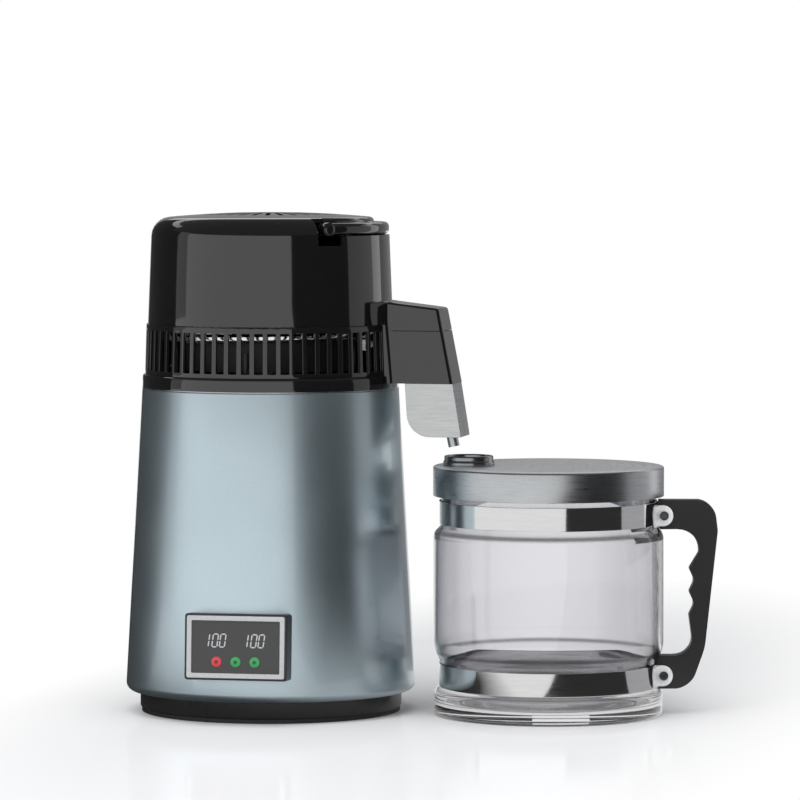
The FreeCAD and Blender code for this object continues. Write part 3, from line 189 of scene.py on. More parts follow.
# Painted shade: in reflections the floor is dark close to the object and turns white further out.
near = add(tree, "VectorMath", {1: (-0.10, 0.0, 0.0)}, operation="DISTANCE")
mirrored = add(tree, "MapRange", {"From Min": 0.16, "From Max": 0.33, "To Min": 0.04})
reflected_floor_shade = add(tree, "Emission", {"Color": WHITE})
by_mirror = add(tree, "MixShader")
fade = add(tree, "MapRange", {"From Min": 0.6, "From Max": 1.1})
far_white = add(tree, "Emission", {"Color": WHITE})
far_or_near = add(tree, "MixShader")
wire(tree, (spot, "Object", spread, "Vector"), (spread, "Vector", reach, 0), (reach, "Value", fade, "Value"),
     (fade, "Result", white_part, 0), (in_glass, 0, painted_glow_through_glass, 0), (painted_glow_through_glass, 0, white_part, 1),
     (white_part, 0, far_or_near, "Fac"), (plain, 0, surface, 1), (polish, 0, surface, 2),
     (surface, 0, lifted, 0), (lift, 0, lifted, 1), (spot, "Object", near, 0),
     (near, "Value", mirrored, "Value"), (mirrored, "Result", reflected_floor_shade, "Strength"),
     (eye, "Is Camera Ray", eye_or_glass, 0), (eye, "Transmission Depth", in_glass, 0),
     (in_glass, 0, eye_or_glass, 1), (eye, "Is Glossy Ray", outside, 0), (in_glass, 0, outside, 1),
     (eye_or_glass, 0, by_eye, "Fac"), (surface, 0, by_eye, 1), (lifted, 0, far_or_near, 1),
     (far_white, 0, far_or_near, 2), (far_or_near, 0, by_eye, 2), (outside, 0, by_mirror, "Fac"),
     (by_eye, 0, by_mirror, 1), (reflected_floor_shade, 0, by_mirror, 2))
tree.links.new(by_mirror.outputs[0], tree.nodes["Material Output"].inputs["Surface"])
floor.data.materials.append(floor_finish)
print("floor", tuple(round(v, 2) for v in floor.dimensions))

# %% [markdown]
# A screen is only worth having for what the metal sees in it. Light falls on a
# round body from the side that it mirrors: the white room fills the left front,
# a dark screen at the right front gives the dark stripe, a grey one beyond it the
# soft light edge, and a dark one at the left back the dark left side. Each of them
# starts on the floor near the object, so that its stripe runs down to the foot, and
# one overhead keeps the crown dark. None is seen by the camera or shades the object.

# %% The screens
MIDDLE = Vector((0.10, 0.0, 0.0))
CAMERA_TURN = math.degrees(math.atan2(camera.location.x - MIDDLE.x, -camera.location.y))


def round_the_object(turn, distance, height):
    """A point at so many degrees to the right of the camera, seen from the object."""
    way = math.radians(CAMERA_TURN + turn)
    return MIDDLE + Vector((distance * math.sin(way), -distance * math.cos(way), height))


def screen(name, start, end, shade, path, steps=12):
    """A curved screen round the object; path is (distance, height) from its near edge on."""
    clear()
    bpy.ops.mesh.primitive_plane_add(size=0.1)
    wall = bpy.context.object
    wall.name = name
    bpy.ops.object.mode_set(mode="EDIT")
    bpy.ops.mesh.merge(type="CENTER")
    bpy.ops.transform.translate(value=round_the_object(start, *path[0]))
    for last, here in zip(path, path[1:]):
        step = round_the_object(start, *here) - round_the_object(start, *last)
        bpy.ops.mesh.extrude_region_move(TRANSFORM_OT_translate={"value": step})
    bpy.ops.mesh.select_all(action="SELECT")
    bpy.ops.mesh.spin(steps=steps, angle=math.radians(start - end), center=MIDDLE, axis=(0, 0, 1))
    bpy.ops.object.mode_set(mode="OBJECT")
    finish, tree, shader = paint(name)
    tree.nodes.remove(shader)
    glow = add(tree, "Emission", {"Color": (shade, shade, shade * 1.02, 1.0)})
    clear_near = add(tree, "BsdfTransparent")
    way = add(tree, "LightPath")
    close = add(tree, "Math", {1: 0.08}, operation="LESS_THAN")
    either = add(tree, "MixShader")
    wire(tree, (way, "Ray Length", close, 0), (close, 0, either, "Fac"), (glow, 0, either, 1),
         (clear_near, 0, either, 2))
    tree.links.new(either.outputs[0], tree.nodes["Material Output"].inputs["Surface"])
    wall.data.materials.append(finish)
    wall.visible_camera = False
    wall.visible_diffuse = False
    wall.visible_shadow = False
    return wall


STANDING = [(0.24, 0.004), (2.2, 0.004), (2.2, 1.6)]
WALL = [(2.2, 0.0), (2.2, 1.6)]
for_metal = [
    screen("screen_right", 19.0, 80.0, 0.035, STANDING),
    screen("screen_edge", 80.0, 116.0, 0.45, STANDING, steps=8),
    screen("screen_far", 132.0, 162.0, 0.26, STANDING),
    screen("left_dim", -85.0, -98.0, 0.45, WALL, steps=4),
    screen("screen_left", -98.0, -162.0, 0.04, STANDING),
    screen("screen_back", 162.0, 198.0, 0.25, [(2.4, 0.15), (2.4, 1.1)], steps=6),
    screen("screen_above", -115.0, 115.0, 0.10, [(0.02, 1.75), (2.4, 1.1)], steps=36),
    screen("above_back", 115.0, 245.0, 0.10, [(0.02, 1.75), (1.5, 1.4)], steps=20),
]
for_glass = [
    screen("edge_right", 84.0, 171.0, 0.02, [(2.3, -0.05), (2.3, 1.6)]),
    screen("edge_above", -180.0, 180.0, 0.06, [(0.02, 1.75), (2.3, 1.62)], steps=36),
    screen("edge_left", -84.0, -171.0, 0.02, [(2.3, -0.05), (2.3, 1.6)]),
]
for wall in for_metal:
    wall.visible_transmission = False
for wall in for_glass:
    wall.visible_glossy = False
print("camera stands", round(CAMERA_TURN, 1), "degrees round to the right")

# %% [markdown]
# Area lamps give soft light. Each is set at so many degrees round the object and
# aimed at it, and its box is hidden from the camera and from the reflections.

# %% The lamps
def lamp(name, turn, distance, height, size, power):
    """A soft box that lights the object and stays out of its reflections."""
    bpy.ops.object.light_add(type="AREA", location=round_the_object(turn, distance, height))
    box = bpy.context.object
    box.name = name
    box.data.shape = "RECTANGLE"
    box.data.size, box.data.size_y = size
    box.data.energy = power
    box.visible_camera = False
    box.visible_glossy = False
    box.visible_transmission = False
    aim(box, MIDDLE + Vector((0.0, 0.0, 0.15)))
    return box


lamp("key_box", -38.0, 2.4, 1.5, (1.8, 1.8), 26.0)
lamp("fill_box", 42.0, 2.6, 1.3, (1.4, 1.4), 10.0)
lamp("top_box", -10.0, 0.7, 2.3, (2.0, 2.0), 42.0)

# %% [markdown]
# ## The ways of making
#
# Nearly every form here is turned or cut from plate. A turned form starts as a
# circle that is extruded ring by ring and resized on the way, as on a lathe, and
# its edges are then rounded. A plate starts as one point that is extruded along
# the outline, filled, and extruded to its thickness. The helpers below only repeat
# those steps; sizes are given in millimetres, as on a drawing.

# %% Picking and finishing
def edit(kind="FACE"):
    """Edit mode on the piece in hand, with nothing picked."""
    bpy.ops.object.mode_set(mode="EDIT")
    bpy.ops.mesh.select_mode(type=kind)
    bpy.ops.mesh.select_all(action="DESELECT")


def pick(kind, test):
    """Picks the corners, edges or faces whose every corner passes the test (in mm)."""
    bpy.ops.mesh.select_mode(type=kind)
    bpy.ops.mesh.select_all(action="DESELECT")
    mesh = bmesh.from_edit_mesh(bpy.context.object.data)
    found = 0
    for part in {"VERT": mesh.verts, "EDGE": mesh.edges, "FACE": mesh.faces}[kind]:
        corners = [part] if kind == "VERT" else part.verts
        if all(test(corner.co / MM) for corner in corners):
            part.select_set(True)
            found += 1
    mesh.select_flush_mode()
    bmesh.update_edit_mesh(bpy.context.object.data)
    return found


def round_off(size, segments=3, corners=False):
    """Bevels what is picked."""
    bpy.ops.mesh.bevel(offset=size * MM, offset_type="OFFSET", segments=segments, profile=0.5,
                       affect="VERTICES" if corners else "EDGES", clamp_overlap=True)


def done(piece, smooth=32.0, outward=True):
    """Leaves edit mode with doubles merged, faces outward and smooth shading up to an angle."""
    if bpy.context.mode != "OBJECT":
        bpy.ops.object.mode_set(mode="OBJECT")
    clear()
    piece.select_set(True)
    bpy.context.view_layer.objects.active = piece
    bpy.ops.object.transform_apply(location=True, rotation=True, scale=True)
    if outward:
        bpy.ops.object.mode_set(mode="EDIT")
        bpy.ops.mesh.select_all(action="SELECT")
        bpy.ops.mesh.remove_doubles(threshold=0.00001)
        bpy.ops.mesh.normals_make_consistent(inside=False)
        bpy.ops.object.mode_set(mode="OBJECT")
    bpy.ops.object.shade_smooth_by_angle(angle=math.radians(smooth))
    return piece


def swing(steps, degrees, copies=False):
    """Spins what is picked about the machine's axis; a positive angle turns left, seen from above."""
    bpy.ops.mesh.spin(steps=steps, angle=-math.radians(degrees), center=(0, 0, 0), axis=(0, 0, 1),
                      dupli=copies)


# %% [markdown]
# A turned form grows ring by ring: a circle is extruded to the next height and scaled
# to the next radius, all along the outline, and then the edges are rounded.

# %% Turned forms
def turned(name, corners, steps=128, ends="loop", smooth=32.0):
    """A form of revolution: corners are (radius, height) or (radius, height, rounding)."""
    clear()
    radius, height = corners[0][0], corners[0][1]
    bpy.ops.mesh.primitive_circle_add(vertices=steps, radius=radius * MM,
                                      location=(0.0, 0.0, height * MM))
    piece = bpy.context.object
    piece.name = name
    bpy.ops.object.transform_apply(location=True)
    edit("EDGE")
    bpy.ops.mesh.select_all(action="SELECT")
    if ends == "caps":
        bpy.ops.mesh.edge_face_add()
        pick("EDGE", lambda at: True)
    path = list(corners[1:]) + ([corners[0]] if ends == "loop" else [])
    for corner in path:
        grow = corner[0] / radius
        bpy.ops.mesh.extrude_edges_move(
            TRANSFORM_OT_translate={"value": (0.0, 0.0, (corner[1] - height) * MM)})
        if abs(grow - 1.0) > 1e-9:
            bpy.ops.transform.resize(value=(grow, grow, 1.0), center_override=(0.0, 0.0, 0.0))
        radius, height = corner[0], corner[1]
    if ends == "caps":
        bpy.ops.mesh.edge_face_add()
    bpy.ops.mesh.select_all(action="SELECT")
    bpy.ops.mesh.remove_doubles(threshold=0.00001)
    bpy.ops.mesh.normals_make_consistent(inside=False)
    for corner in corners:
        if len(corner) > 2 and corner[2]:
            pick("EDGE", lambda at: abs(at.z - corner[1]) < 0.01
                 and abs(math.hypot(at.x, at.y) - corner[0]) < 0.01)
            round_off(corner[2], 6 if corner[2] > 2.5 else 3)
    return done(piece, smooth)


# %% [markdown]
# A plate starts as one vertex that is extruded from corner to corner and filled with
# a face. Its corners are bevelled, and the face is extruded to its thickness. A swept
# form is the same outline, carried round the axis by Spin.

# %% Plate forms
def plate(name, corners, plane, start, thick, smooth=32.0):
    """A plate: corners (a, b) or (a, b, rounding) in the XY, XZ or YZ plane; no thickness leaves a face."""
    clear()
    bpy.ops.mesh.primitive_plane_add(size=0.001, location=(0.0, 0.0, 0.0))
    piece = bpy.context.object
    piece.name = name
    edit("VERT")
    bpy.ops.mesh.select_all(action="SELECT")
    bpy.ops.mesh.merge(type="CENTER")

    def point(corner):
        a, b = corner[0] * MM, corner[1] * MM
        return {"XY": Vector((a, b, start * MM)), "XZ": Vector((a, start * MM, b)),
                "YZ": Vector((start * MM, a, b))}[plane]

    bpy.ops.transform.translate(value=point(corners[0]))
    for last, corner in zip(corners, corners[1:]):
        bpy.ops.mesh.extrude_region_move(
            TRANSFORM_OT_translate={"value": point(corner) - point(last)})
    bpy.ops.mesh.select_all(action="SELECT")
    bpy.ops.mesh.edge_face_add()
    for i, corner in enumerate(corners):
        if len(corner) > 2 and corner[2]:
            here = point(corner)
            before = (point(corners[i - 1]) - here).normalized()
            after = (point(corners[(i + 1) % len(corners)]) - here).normalized()
            half_turn = before.angle(after) / 2
            pick("VERT", lambda at: (at * MM - here).length < 0.00001)
            round_off(corner[2] / math.tan(half_turn), 8 if corner[2] > 2.5 else 4, corners=True)
    bpy.ops.mesh.select_all(action="SELECT")
    way = {"XY": (0, 0, 1), "XZ": (0, 1, 0), "YZ": (1, 0, 0)}[plane]
    if thick:
        bpy.ops.mesh.extrude_region_move(
            TRANSFORM_OT_translate={"value": Vector(way) * (thick * MM)})
    return done(piece, smooth)


def swept(name, corners, start, sweep, steps=72):
    """A section (radius, height, rounding) carried part of the way round the axis."""
    section = moved(plate(name, corners, "XZ", 0.0, 0.0), start)
    edit("FACE")
    bpy.ops.mesh.select_all(action="SELECT")
    bpy.ops.mesh.delete(type="ONLY_FACE")
    bpy.ops.mesh.select_mode(type="EDGE")
    bpy.ops.mesh.select_all(action="SELECT")
    swing(steps, sweep)
    bpy.ops.mesh.select_all(action="SELECT")
    bpy.ops.mesh.remove_doubles(threshold=0.000001)
    bpy.ops.mesh.select_all(action="DESELECT")
    bpy.ops.mesh.select_mode(type="EDGE")
    bpy.ops.mesh.select_non_manifold()
    bpy.ops.mesh.fill_holes(sides=0)
    bpy.ops.object.mode_set(mode="OBJECT")
    return done(section)


def soften(piece, size, test, segments=3, smooth=32.0):
    """Rounds the edges of a piece that pass the test."""
    clear()
    piece.select_set(True)
    bpy.context.view_layer.objects.active = piece
    edit("EDGE")
    found = pick("EDGE", test)
    if found:
        round_off(size, segments)
    bpy.ops.object.mode_set(mode="OBJECT")
    return done(piece, smooth)


def apply_all(piece):
    """Applies every modifier on a piece, in order."""
    clear()
    piece.select_set(True)
    bpy.context.view_layer.objects.active = piece
    for modifier in list(piece.modifiers):
        bpy.ops.object.modifier_apply(modifier=modifier.name)


def cut_out(piece, *tools, solver="EXACT"):
    """Cuts the tools out of a piece and takes them away."""
    for tool in tools:
        cut = piece.modifiers.new("cut", "BOOLEAN")
        cut.operation = "DIFFERENCE"
        cut.solver = solver
        cut.object = tool
        apply_all(piece)
        bpy.data.objects.remove(tool, do_unlink=True)
    return piece


def moved(piece, turn=0.0, shift=(0.0, 0.0, 0.0), about="Z"):
    """Turns a piece about an axis through the origin, then shifts it, in its mesh."""
    way = Matrix.Translation(Vector(shift) * MM) @ Matrix.Rotation(math.radians(turn), 4, about)
    piece.data.transform(way)
    return piece


def joined(name, *parts):
    """Several parts as one piece."""
    clear()
    for part in parts:
        part.select_set(True)
    bpy.context.view_layer.objects.active = parts[0]
    bpy.ops.object.join()
    whole = bpy.context.object
    whole.name = name
    return whole


def fit(piece, body, finish, slot, *nodes):
    """Gives a piece its finish, its body and the solids that it stands for."""
    piece.data.materials.clear()
    piece.data.materials.append(finish)
    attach(piece, body)
    if nodes:
        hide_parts(*nodes)
    print(piece.name, "on", body, len(piece.data.polygons), "faces")
    return piece

# %% [markdown]
# ## The finishes
#
# A finish is only believable when its gloss varies a little. Painted metal has a
# fine flake and a soft mirror under a clear coat, moulded black plastic is nearly
# a mirror with a faint orange peel, and brushed metal is scratched one way, so its
# highlight is drawn out across the scratches.

# %% Noise, scratches and bump
def grain(tree, scale, detail=2.0, stretch=(1.0, 1.0, 1.0), kind="Object"):
    """Noise over the piece's own coordinates, stretched where asked."""
    place = add(tree, "TexCoord")
    mapping = add(tree, "Mapping", {"Scale": stretch})
    noise = add(tree, "TexNoise", {"Scale": scale, "Detail": detail})
    wire(tree, (place, kind, mapping, "Vector"), (mapping, "Vector", noise, "Vector"))
    return noise.outputs["Fac"]


def between(tree, value, low, high):
    """Spreads a value from the middle of a noise over a range."""
    spread = add(tree, "MapRange", {"From Min": 0.3, "From Max": 0.7, "To Min": low, "To Max": high})
    tree.links.new(value, spread.inputs["Value"])
    return spread.outputs["Result"]


def bumped(tree, shader, value, strength, depth):
    """Lets a value raise and lower the surface."""
    bump = add(tree, "Bump", {"Strength": strength, "Distance": depth * MM})
    tree.links.new(value, bump.inputs["Height"])
    wire(tree, (bump, "Normal", shader, "Normal"))


def tinted(tree, shader, value, dark, light):
    """Lets a value move the colour between two shades."""
    mix = add(tree, "Mix", {"A": (*dark, 1.0), "B": (*light, 1.0)}, data_type="RGBA")
    tree.links.new(between(tree, value, 0.0, 1.0), mix.inputs["Factor"])
    wire(tree, (mix, "Result", shader, "Base Color"))


# %% [markdown]
# Plastic, paint and metal differ in shade, in gloss and in how strongly fine noise
# bumps them. One function for each kind makes a whole material in a single call.

# %% Painted, moulded and rubber finishes
def moulded(name, shade, rough, coat=0.0, peel=0.02, scale=900.0):
    """Moulded plastic: a shade, a gloss that varies by a few hundredths and a fine peel."""
    made, tree, shader = paint(name)
    noise = grain(tree, scale, 3.0)
    tinted(tree, shader, noise, [c * 0.92 for c in shade], [c * 1.08 for c in shade])
    patches = grain(tree, 22.0, 2.0)
    tree.links.new(between(tree, patches, rough * 0.88, rough * 1.12), shader.inputs["Roughness"])
    give(shader, {"Coat Weight": coat, "Coat Roughness": 0.03})
    bumped(tree, shader, noise, peel, 0.2)
    return made


def flaked(name, shade, rough):
    """Metallic paint: fine flake in the shade under a thin clear coat."""
    made, tree, shader = paint(name)
    flake = grain(tree, 2600.0, 2.0)
    tinted(tree, shader, flake, [c * 0.93 for c in shade], [c * 1.07 for c in shade])
    give(shader, {"Metallic": 0.96})
    drift = grain(tree, 14.0, 2.0)
    tree.links.new(between(tree, drift, rough * 0.92, rough * 1.08), shader.inputs["Roughness"])
    give(shader, {"Coat Weight": 0.7, "Coat Roughness": 0.035})
    bumped(tree, shader, flake, 0.015, 0.05)
    return made


def brushed(name, shade, rough, stretch, strength=0.12):
    """Metal brushed one way: long fine scratches in its shade, gloss and height."""
    made, tree, shader = paint(name)
    scratch = grain(tree, 90.0, 6.0, stretch)
    tinted(tree, shader, scratch, [c * 0.84 for c in shade], [min(1.0, c * 1.12) for c in shade])
    give(shader, {"Metallic": 1.0})
    tree.links.new(between(tree, scratch, rough * 0.75, rough * 1.3), shader.inputs["Roughness"])
    bumped(tree, shader, scratch, strength, 0.12)
    return made


def polished(name, shade, rough):
    """Polished metal with a trace of fine scratches."""
    made, tree, shader = paint(name)
    haze = grain(tree, 60.0, 4.0, (1.0, 1.0, 9.0))
    tinted(tree, shader, haze, [c * 0.96 for c in shade], [min(1.0, c * 1.02) for c in shade])
    give(shader, {"Metallic": 1.0})
    tree.links.new(between(tree, haze, rough * 0.8, rough * 1.3), shader.inputs["Roughness"])
    return made


def turned_metal(name, shade, rough, centre):
    """Sheet metal brushed on a lathe, in fine rings about an upright axis; its flat top is duller."""
    made, tree, shader = paint(name)
    place = add(tree, "TexCoord")
    about = add(tree, "VectorMath", {1: (centre[0], centre[1], 0.0)}, operation="SUBTRACT")
    parts = add(tree, "SeparateXYZ")
    flat = add(tree, "CombineXYZ")
    out = add(tree, "VectorMath", operation="LENGTH")
    ring = add(tree, "CombineXYZ")
    drift = add(tree, "Math", {1: 0.03}, operation="MULTIPLY")
    noise = add(tree, "TexNoise", {"Scale": 2600.0, "Detail": 4.0})
    wire(tree, (place, "Object", about, 0), (about, "Vector", parts, "Vector"), (parts, "X", flat, "X"),
         (parts, "Y", flat, "Y"), (flat, "Vector", out, 0), (parts, "X", drift, 0), (out, "Value", ring, "X"),
         (parts, "Z", ring, "Y"), (drift, "Value", ring, "Z"), (ring, "Vector", noise, "Vector"))
    tinted(tree, shader, noise.outputs["Fac"], [c * 0.86 for c in shade], [min(1.0, c * 1.1) for c in shade])
    top = add(tree, "MapRange", {"From Min": centre[2] - 0.5 * MM, "From Max": centre[2], "To Min": 1.0,
                                 "To Max": 0.7})
    wire(tree, (parts, "Z", top, "Value"), (top, "Result", shader, "Metallic"))
    tree.links.new(between(tree, noise.outputs["Fac"], rough * 0.85, rough * 1.2), shader.inputs["Roughness"])
    bumped(tree, shader, noise.outputs["Fac"], 0.1, 0.08)
    return made


CASING = flaked("casing_paint", (0.565, 0.685, 0.74), 0.36)
GLOSS_BLACK = moulded("gloss_black", (0.005, 0.005, 0.0055), 0.08, coat=0.8)
SATIN_BLACK = moulded("satin_black", (0.018, 0.018, 0.019), 0.3, peel=0.08)
GRIP_BLACK = moulded("grip_black", (0.013, 0.013, 0.014), 0.42, peel=0.12)
RUBBER = moulded("rubber", (0.02, 0.02, 0.021), 0.6, peel=0.15, scale=400.0)
FRAME_SILVER = moulded("frame_silver", (0.44, 0.445, 0.46), 0.28, coat=0.3)
SPOUT_SILVER = brushed("spout_silver", (0.56, 0.575, 0.575), 0.3, (0.6, 10.0, 10.0))
LID_SILVER = turned_metal("lid_silver", (0.53, 0.545, 0.56), 0.3, (0.201, 0.016, 0.178))
CHROME = polished("chrome", (0.80, 0.81, 0.82), 0.12)
DARK_CHROME = polished("dark_chrome", (0.30, 0.31, 0.32), 0.2)
STEEL = brushed("steel", (0.55, 0.56, 0.57), 0.32, (1.0, 1.0, 8.0))
print("finishes:", len(bpy.data.materials))

# %% [markdown]
# ## The base and the casing
#
# The casing is one sheet of painted metal drawn into a gently tapered tube, with a
# rolled lower edge over a black base. It is turned: a circle at the foot, extruded
# up the outside, over the top edge and down the inside. The lower edge is rounded
# with a wide bevel, because that roll is what catches the dark line at the foot.

# %% Base and casing
base = turned("base_band", [(88.0, 3.0), (94.3, 3.0, 1.4), (94.3, 15.4), (92.6, 15.4),
                            (92.6, 19.2), (88.0, 19.2)])
fit(base, "machine", SATIN_BLACK, "black_base", "base_ring")

PANEL_TURN = 1.6
PANEL_LEAN = -3.23
PANEL_PLACE = (0.0, -112.0, 56.0)
casing = turned("casing_shell", [(95.0, 15.0), (104.7, 15.0, 6.0), (92.4, 233.0, 0.9),
                                 (91.2, 233.0), (103.4, 16.3, 5.0), (95.0, 16.3)], steps=160)
panel_way = plate("panel_way", [(-33.0, -19.5), (33.0, -19.5), (33.0, 19.5), (-33.0, 19.5)],
                  "XZ", -20.0, 60.0)
moved(panel_way, PANEL_LEAN, PANEL_PLACE, "X")
moved(panel_way, PANEL_TURN)
inlet_way = plate("inlet_way", [(-13.2, 25.0), (13.2, 25.0), (13.2, 43.0), (-13.2, 43.0)],
                  "XZ", 80.0, 40.0)
cut_out(casing, panel_way, inlet_way)
done(casing)
fit(casing, "machine", CASING, "casing_paint", "outer_casing")

# %% [markdown]
# ## The vent band
#
# Air leaves the head through a ring of upright slots. One slot with half a bar on
# each side is a sector of six degrees: it is laid out flat on the ring, its middle
# is deleted, and Spin copies it round. The spout covers the last four sectors, and
# there the band is plain. Solidify gives the moulding its wall and a small bevel
# rounds every bar, which is what makes each of them catch the light.

# %% The slotted ring
def on_ring(radius, angle, height):
    """A point on a ring, in metres."""
    way = math.radians(angle)
    return Vector((radius * math.cos(way), radius * math.sin(way), height)) * MM


def ring_strip(name, start, steps, levels):
    """A strip of a tapered ring: steps are (segments, degrees), levels are (radius, height)."""
    clear()
    bpy.ops.mesh.primitive_plane_add(size=0.001)
    strip = bpy.context.object
    strip.name = name
    edit("VERT")
    bpy.ops.mesh.select_all(action="SELECT")
    bpy.ops.mesh.merge(type="CENTER")
    bpy.ops.transform.translate(value=on_ring(levels[0][0], start, levels[0][1]))
    for count, degrees in steps:
        swing(count, degrees)
    bpy.ops.mesh.select_mode(type="EDGE")
    bpy.ops.mesh.select_all(action="SELECT")
    for low, high in zip(levels, levels[1:]):
        bpy.ops.mesh.extrude_edges_move(
            TRANSFORM_OT_translate={"value": (0.0, 0.0, (high[1] - low[1]) * MM)})
        grow = high[0] / low[0]
        bpy.ops.transform.resize(value=(grow, grow, 1.0), center_override=(0.0, 0.0, 0.0))
    return strip


def turn_of(at):
    """Degrees round the axis."""
    return math.degrees(math.atan2(at.y, at.x)) % 360.0


levels = [(90.4, 243.0), (90.3, 246.4), (89.43, 274.6), (89.3, 279.0)]
slats = ring_strip("vent_slats", 12.0, [(1, 1.1), (3, 3.8), (1, 1.1)], levels)
pick("FACE", lambda at: 246.3 < at.z < 274.7 and 13.0 < turn_of(at) < 17.0)
bpy.ops.mesh.delete(type="FACE")
bpy.ops.mesh.select_all(action="SELECT")
swing(55, 330.0, copies=True)
bpy.ops.object.mode_set(mode="OBJECT")
behind_spout = ring_strip("vent_plain", -12.0, [(8, 24.0)], levels)
bpy.ops.object.mode_set(mode="OBJECT")
vent = done(joined("vent_band", slats, behind_spout))
wall = vent.modifiers.new("wall", "SOLIDIFY")
wall.thickness = 2.6 * MM
wall.offset = -1.0
edge = vent.modifiers.new("edge", "BEVEL")
edge.width = 0.45 * MM
edge.segments = 2
edge.limit_method = "ANGLE"
edge.angle_limit = math.radians(50.0)
apply_all(vent)
done(vent, outward=False)
fit(vent, "head", GLOSS_BLACK, "gloss_black", "vent_ring")

band = turned("head_band", [(86.5, 233.4), (92.5, 233.4, 0.4), (92.0, 243.0, 1.6), (86.5, 243.0)])
fit(band, "head", GLOSS_BLACK, "gloss_black", "head_base")

# %% [markdown]
# ## The coil
#
# Behind the slots the steam is cooled in a steel tube wound in two turns. A small
# circle stands on edge at the coil's radius, a Screw modifier carries it round and
# up, and its two open ends are closed.

# %% The condenser coil
clear()
bpy.ops.mesh.primitive_circle_add(vertices=20, radius=4.0 * MM, location=(70.0 * MM, 0.0, 264.0 * MM),
                                  rotation=(math.radians(90.0), 0.0, 0.0))
coil = bpy.context.object
coil.name = "cooling_coil"
bpy.ops.object.transform_apply(location=True, rotation=True)
winding = coil.modifiers.new("winding", "SCREW")
winding.axis = "Z"
winding.angle = math.radians(720.0)
winding.screw_offset = 19.0 * MM
winding.steps = 160
winding.render_steps = 160
apply_all(coil)
edit("EDGE")
bpy.ops.mesh.select_non_manifold()
bpy.ops.mesh.fill_holes(sides=0)
done(coil, 40.0)
print("coil", [round(v / MM, 1) for v in coil.dimensions])
fit(coil, "head", CHROME, "coil_steel", "condenser_coil")

# %% [markdown]
# Inside the coil stands a thin dark sleeve, and a curved dark sheet stands at the back
# of the slots. Both are painted shade: dark pieces where the inside of the head lies in
# shadow. They are why the slots look black, with only the coil shining in them.

# %% The dark sleeve and sheet: painted shade
# Painted shade: a dark sleeve and a dark back sheet stand where the head's inside is only in shadow.
sleeve = turned("shade_sleeve", [(60.0, 246.0), (61.0, 246.0), (61.0, 297.0), (60.0, 297.0)], steps=64)
back_sheet = swept("shade_sheet", [(84.2, 246.8), (84.9, 246.8), (84.9, 274.0), (84.2, 274.0)], 30.0, 150.0, steps=60)
SHADE_BLACK = moulded("shade_black", (0.008, 0.008, 0.009), 0.55, coat=0.0)
fit(joined("inner_shade", sleeve, done(back_sheet, 40.0)), "head", SHADE_BLACK, "gloss_black")

# %% [markdown]
# ## The dome
#
# The dome is the glossy moulding that covers the fan. Its wall leans in a little
# and its crown is nearly flat. On the right rear half it steps down to a half-round
# ledge, where the carry handle lies, and two pockets give the handle's ends room to
# swing. The whole body is turned first; the ledge, the pockets and the air slots on
# top are then cut out with shaped tools, as a mould would leave them out.

# %% The turned dome
CROWN_TOP = 359.0
CROWN_RADIUS = 804.0


def crown(radius, drop=0.0):
    """Height of the slightly domed crown at a radius."""
    return CROWN_TOP - drop - (CROWN_RADIUS - math.sqrt(CROWN_RADIUS ** 2 - radius ** 2))


def dome_line(inset, step):
    """Corners of the dome's outside, or of its inside drawn in by a wall, from foot to crown."""
    line = [(88.2 - inset, 279.0), (85.2 - inset, crown(85.2) - inset, max(2.0, 12.0 - inset))]
    radius = 68.0
    while radius > 3.0:
        line.append((radius - inset * 0.2, crown(radius, inset)))
        radius -= step
    line.append((2.0, crown(2.0, inset)))
    return line


inside = dome_line(2.6, 22.0)
inside[0] = (85.6, 279.0)
outside = dome_line(0.0, 11.0)
outside[0] = (88.2, 279.0, 0.5)
dome = turned("dome", list(reversed(inside)) + outside, steps=160, ends="caps")

# %% [markdown]
# The ledge is a section swept half a turn round the dome and then cut out of it. The
# pockets in which the ends of the handle swing are cut in the same way.

# %% The ledge and the pockets
PIVOT = -46.0
PIVOT_HEIGHT = 347.8
ledge_tool = [(74.5, 343.0, 0.8), (74.5, 352.7), (74.27, 353.85), (73.6, 354.85), (72.6, 355.5),
              (71.4, 355.78), (71.4, 372.0), (100.0, 372.0), (100.0, 343.0)]


ledge_cut = swept("ledge_cut", ledge_tool, PIVOT, 180.0, steps=80)
cut_out(dome, ledge_cut)


def pocket(side):
    """The room that one end of the carry handle swings in."""
    tool = plate("pocket_tool", [(58.0, -9.5), (110.0, -9.5), (110.0, 9.5), (58.0, 9.5)], "XY", 336.2, 40.0)
    core = turned("pocket_core", [(2.0, 320.0), (74.5, 320.0), (74.5, 380.0), (2.0, 380.0)],
                  steps=160, ends="caps")
    cut_out(tool, core)
    return moved(tool, PIVOT + side)


cut_out(dome, pocket(0.0), pocket(180.0))
print("dome faces", len(dome.data.polygons))

# %% [markdown]
# All the slots are cut in one go: one tool for each slot, all joined into one object,
# and a single Boolean. A Bevel limited by angle then rounds the new edges.

# %% The air slots in the crown
def air_slots(count, first):
    """A ring of slot-shaped tools, each made and turned to its place."""
    tools = []
    for i in range(count):
        slot = plate("air_slot", [(20.0, -1.6, 1.5), (50.0, -1.6, 1.5), (50.0, 1.6, 1.5), (20.0, 1.6, 1.5)],
                     "XY", 345.0, 30.0)
        tools.append(moved(slot, first + 360.0 * i / count))
    return joined("air_slots", *tools)


cut_out(dome, air_slots(30, 6.0))
rim = dome.modifiers.new("rim", "BEVEL")
rim.width = 0.5 * MM
rim.segments = 2
rim.limit_method = "ANGLE"
rim.angle_limit = math.radians(50.0)
apply_all(dome)
done(dome, 30.0)
fit(dome, "head", GLOSS_BLACK, "gloss_black", "dome_cover")

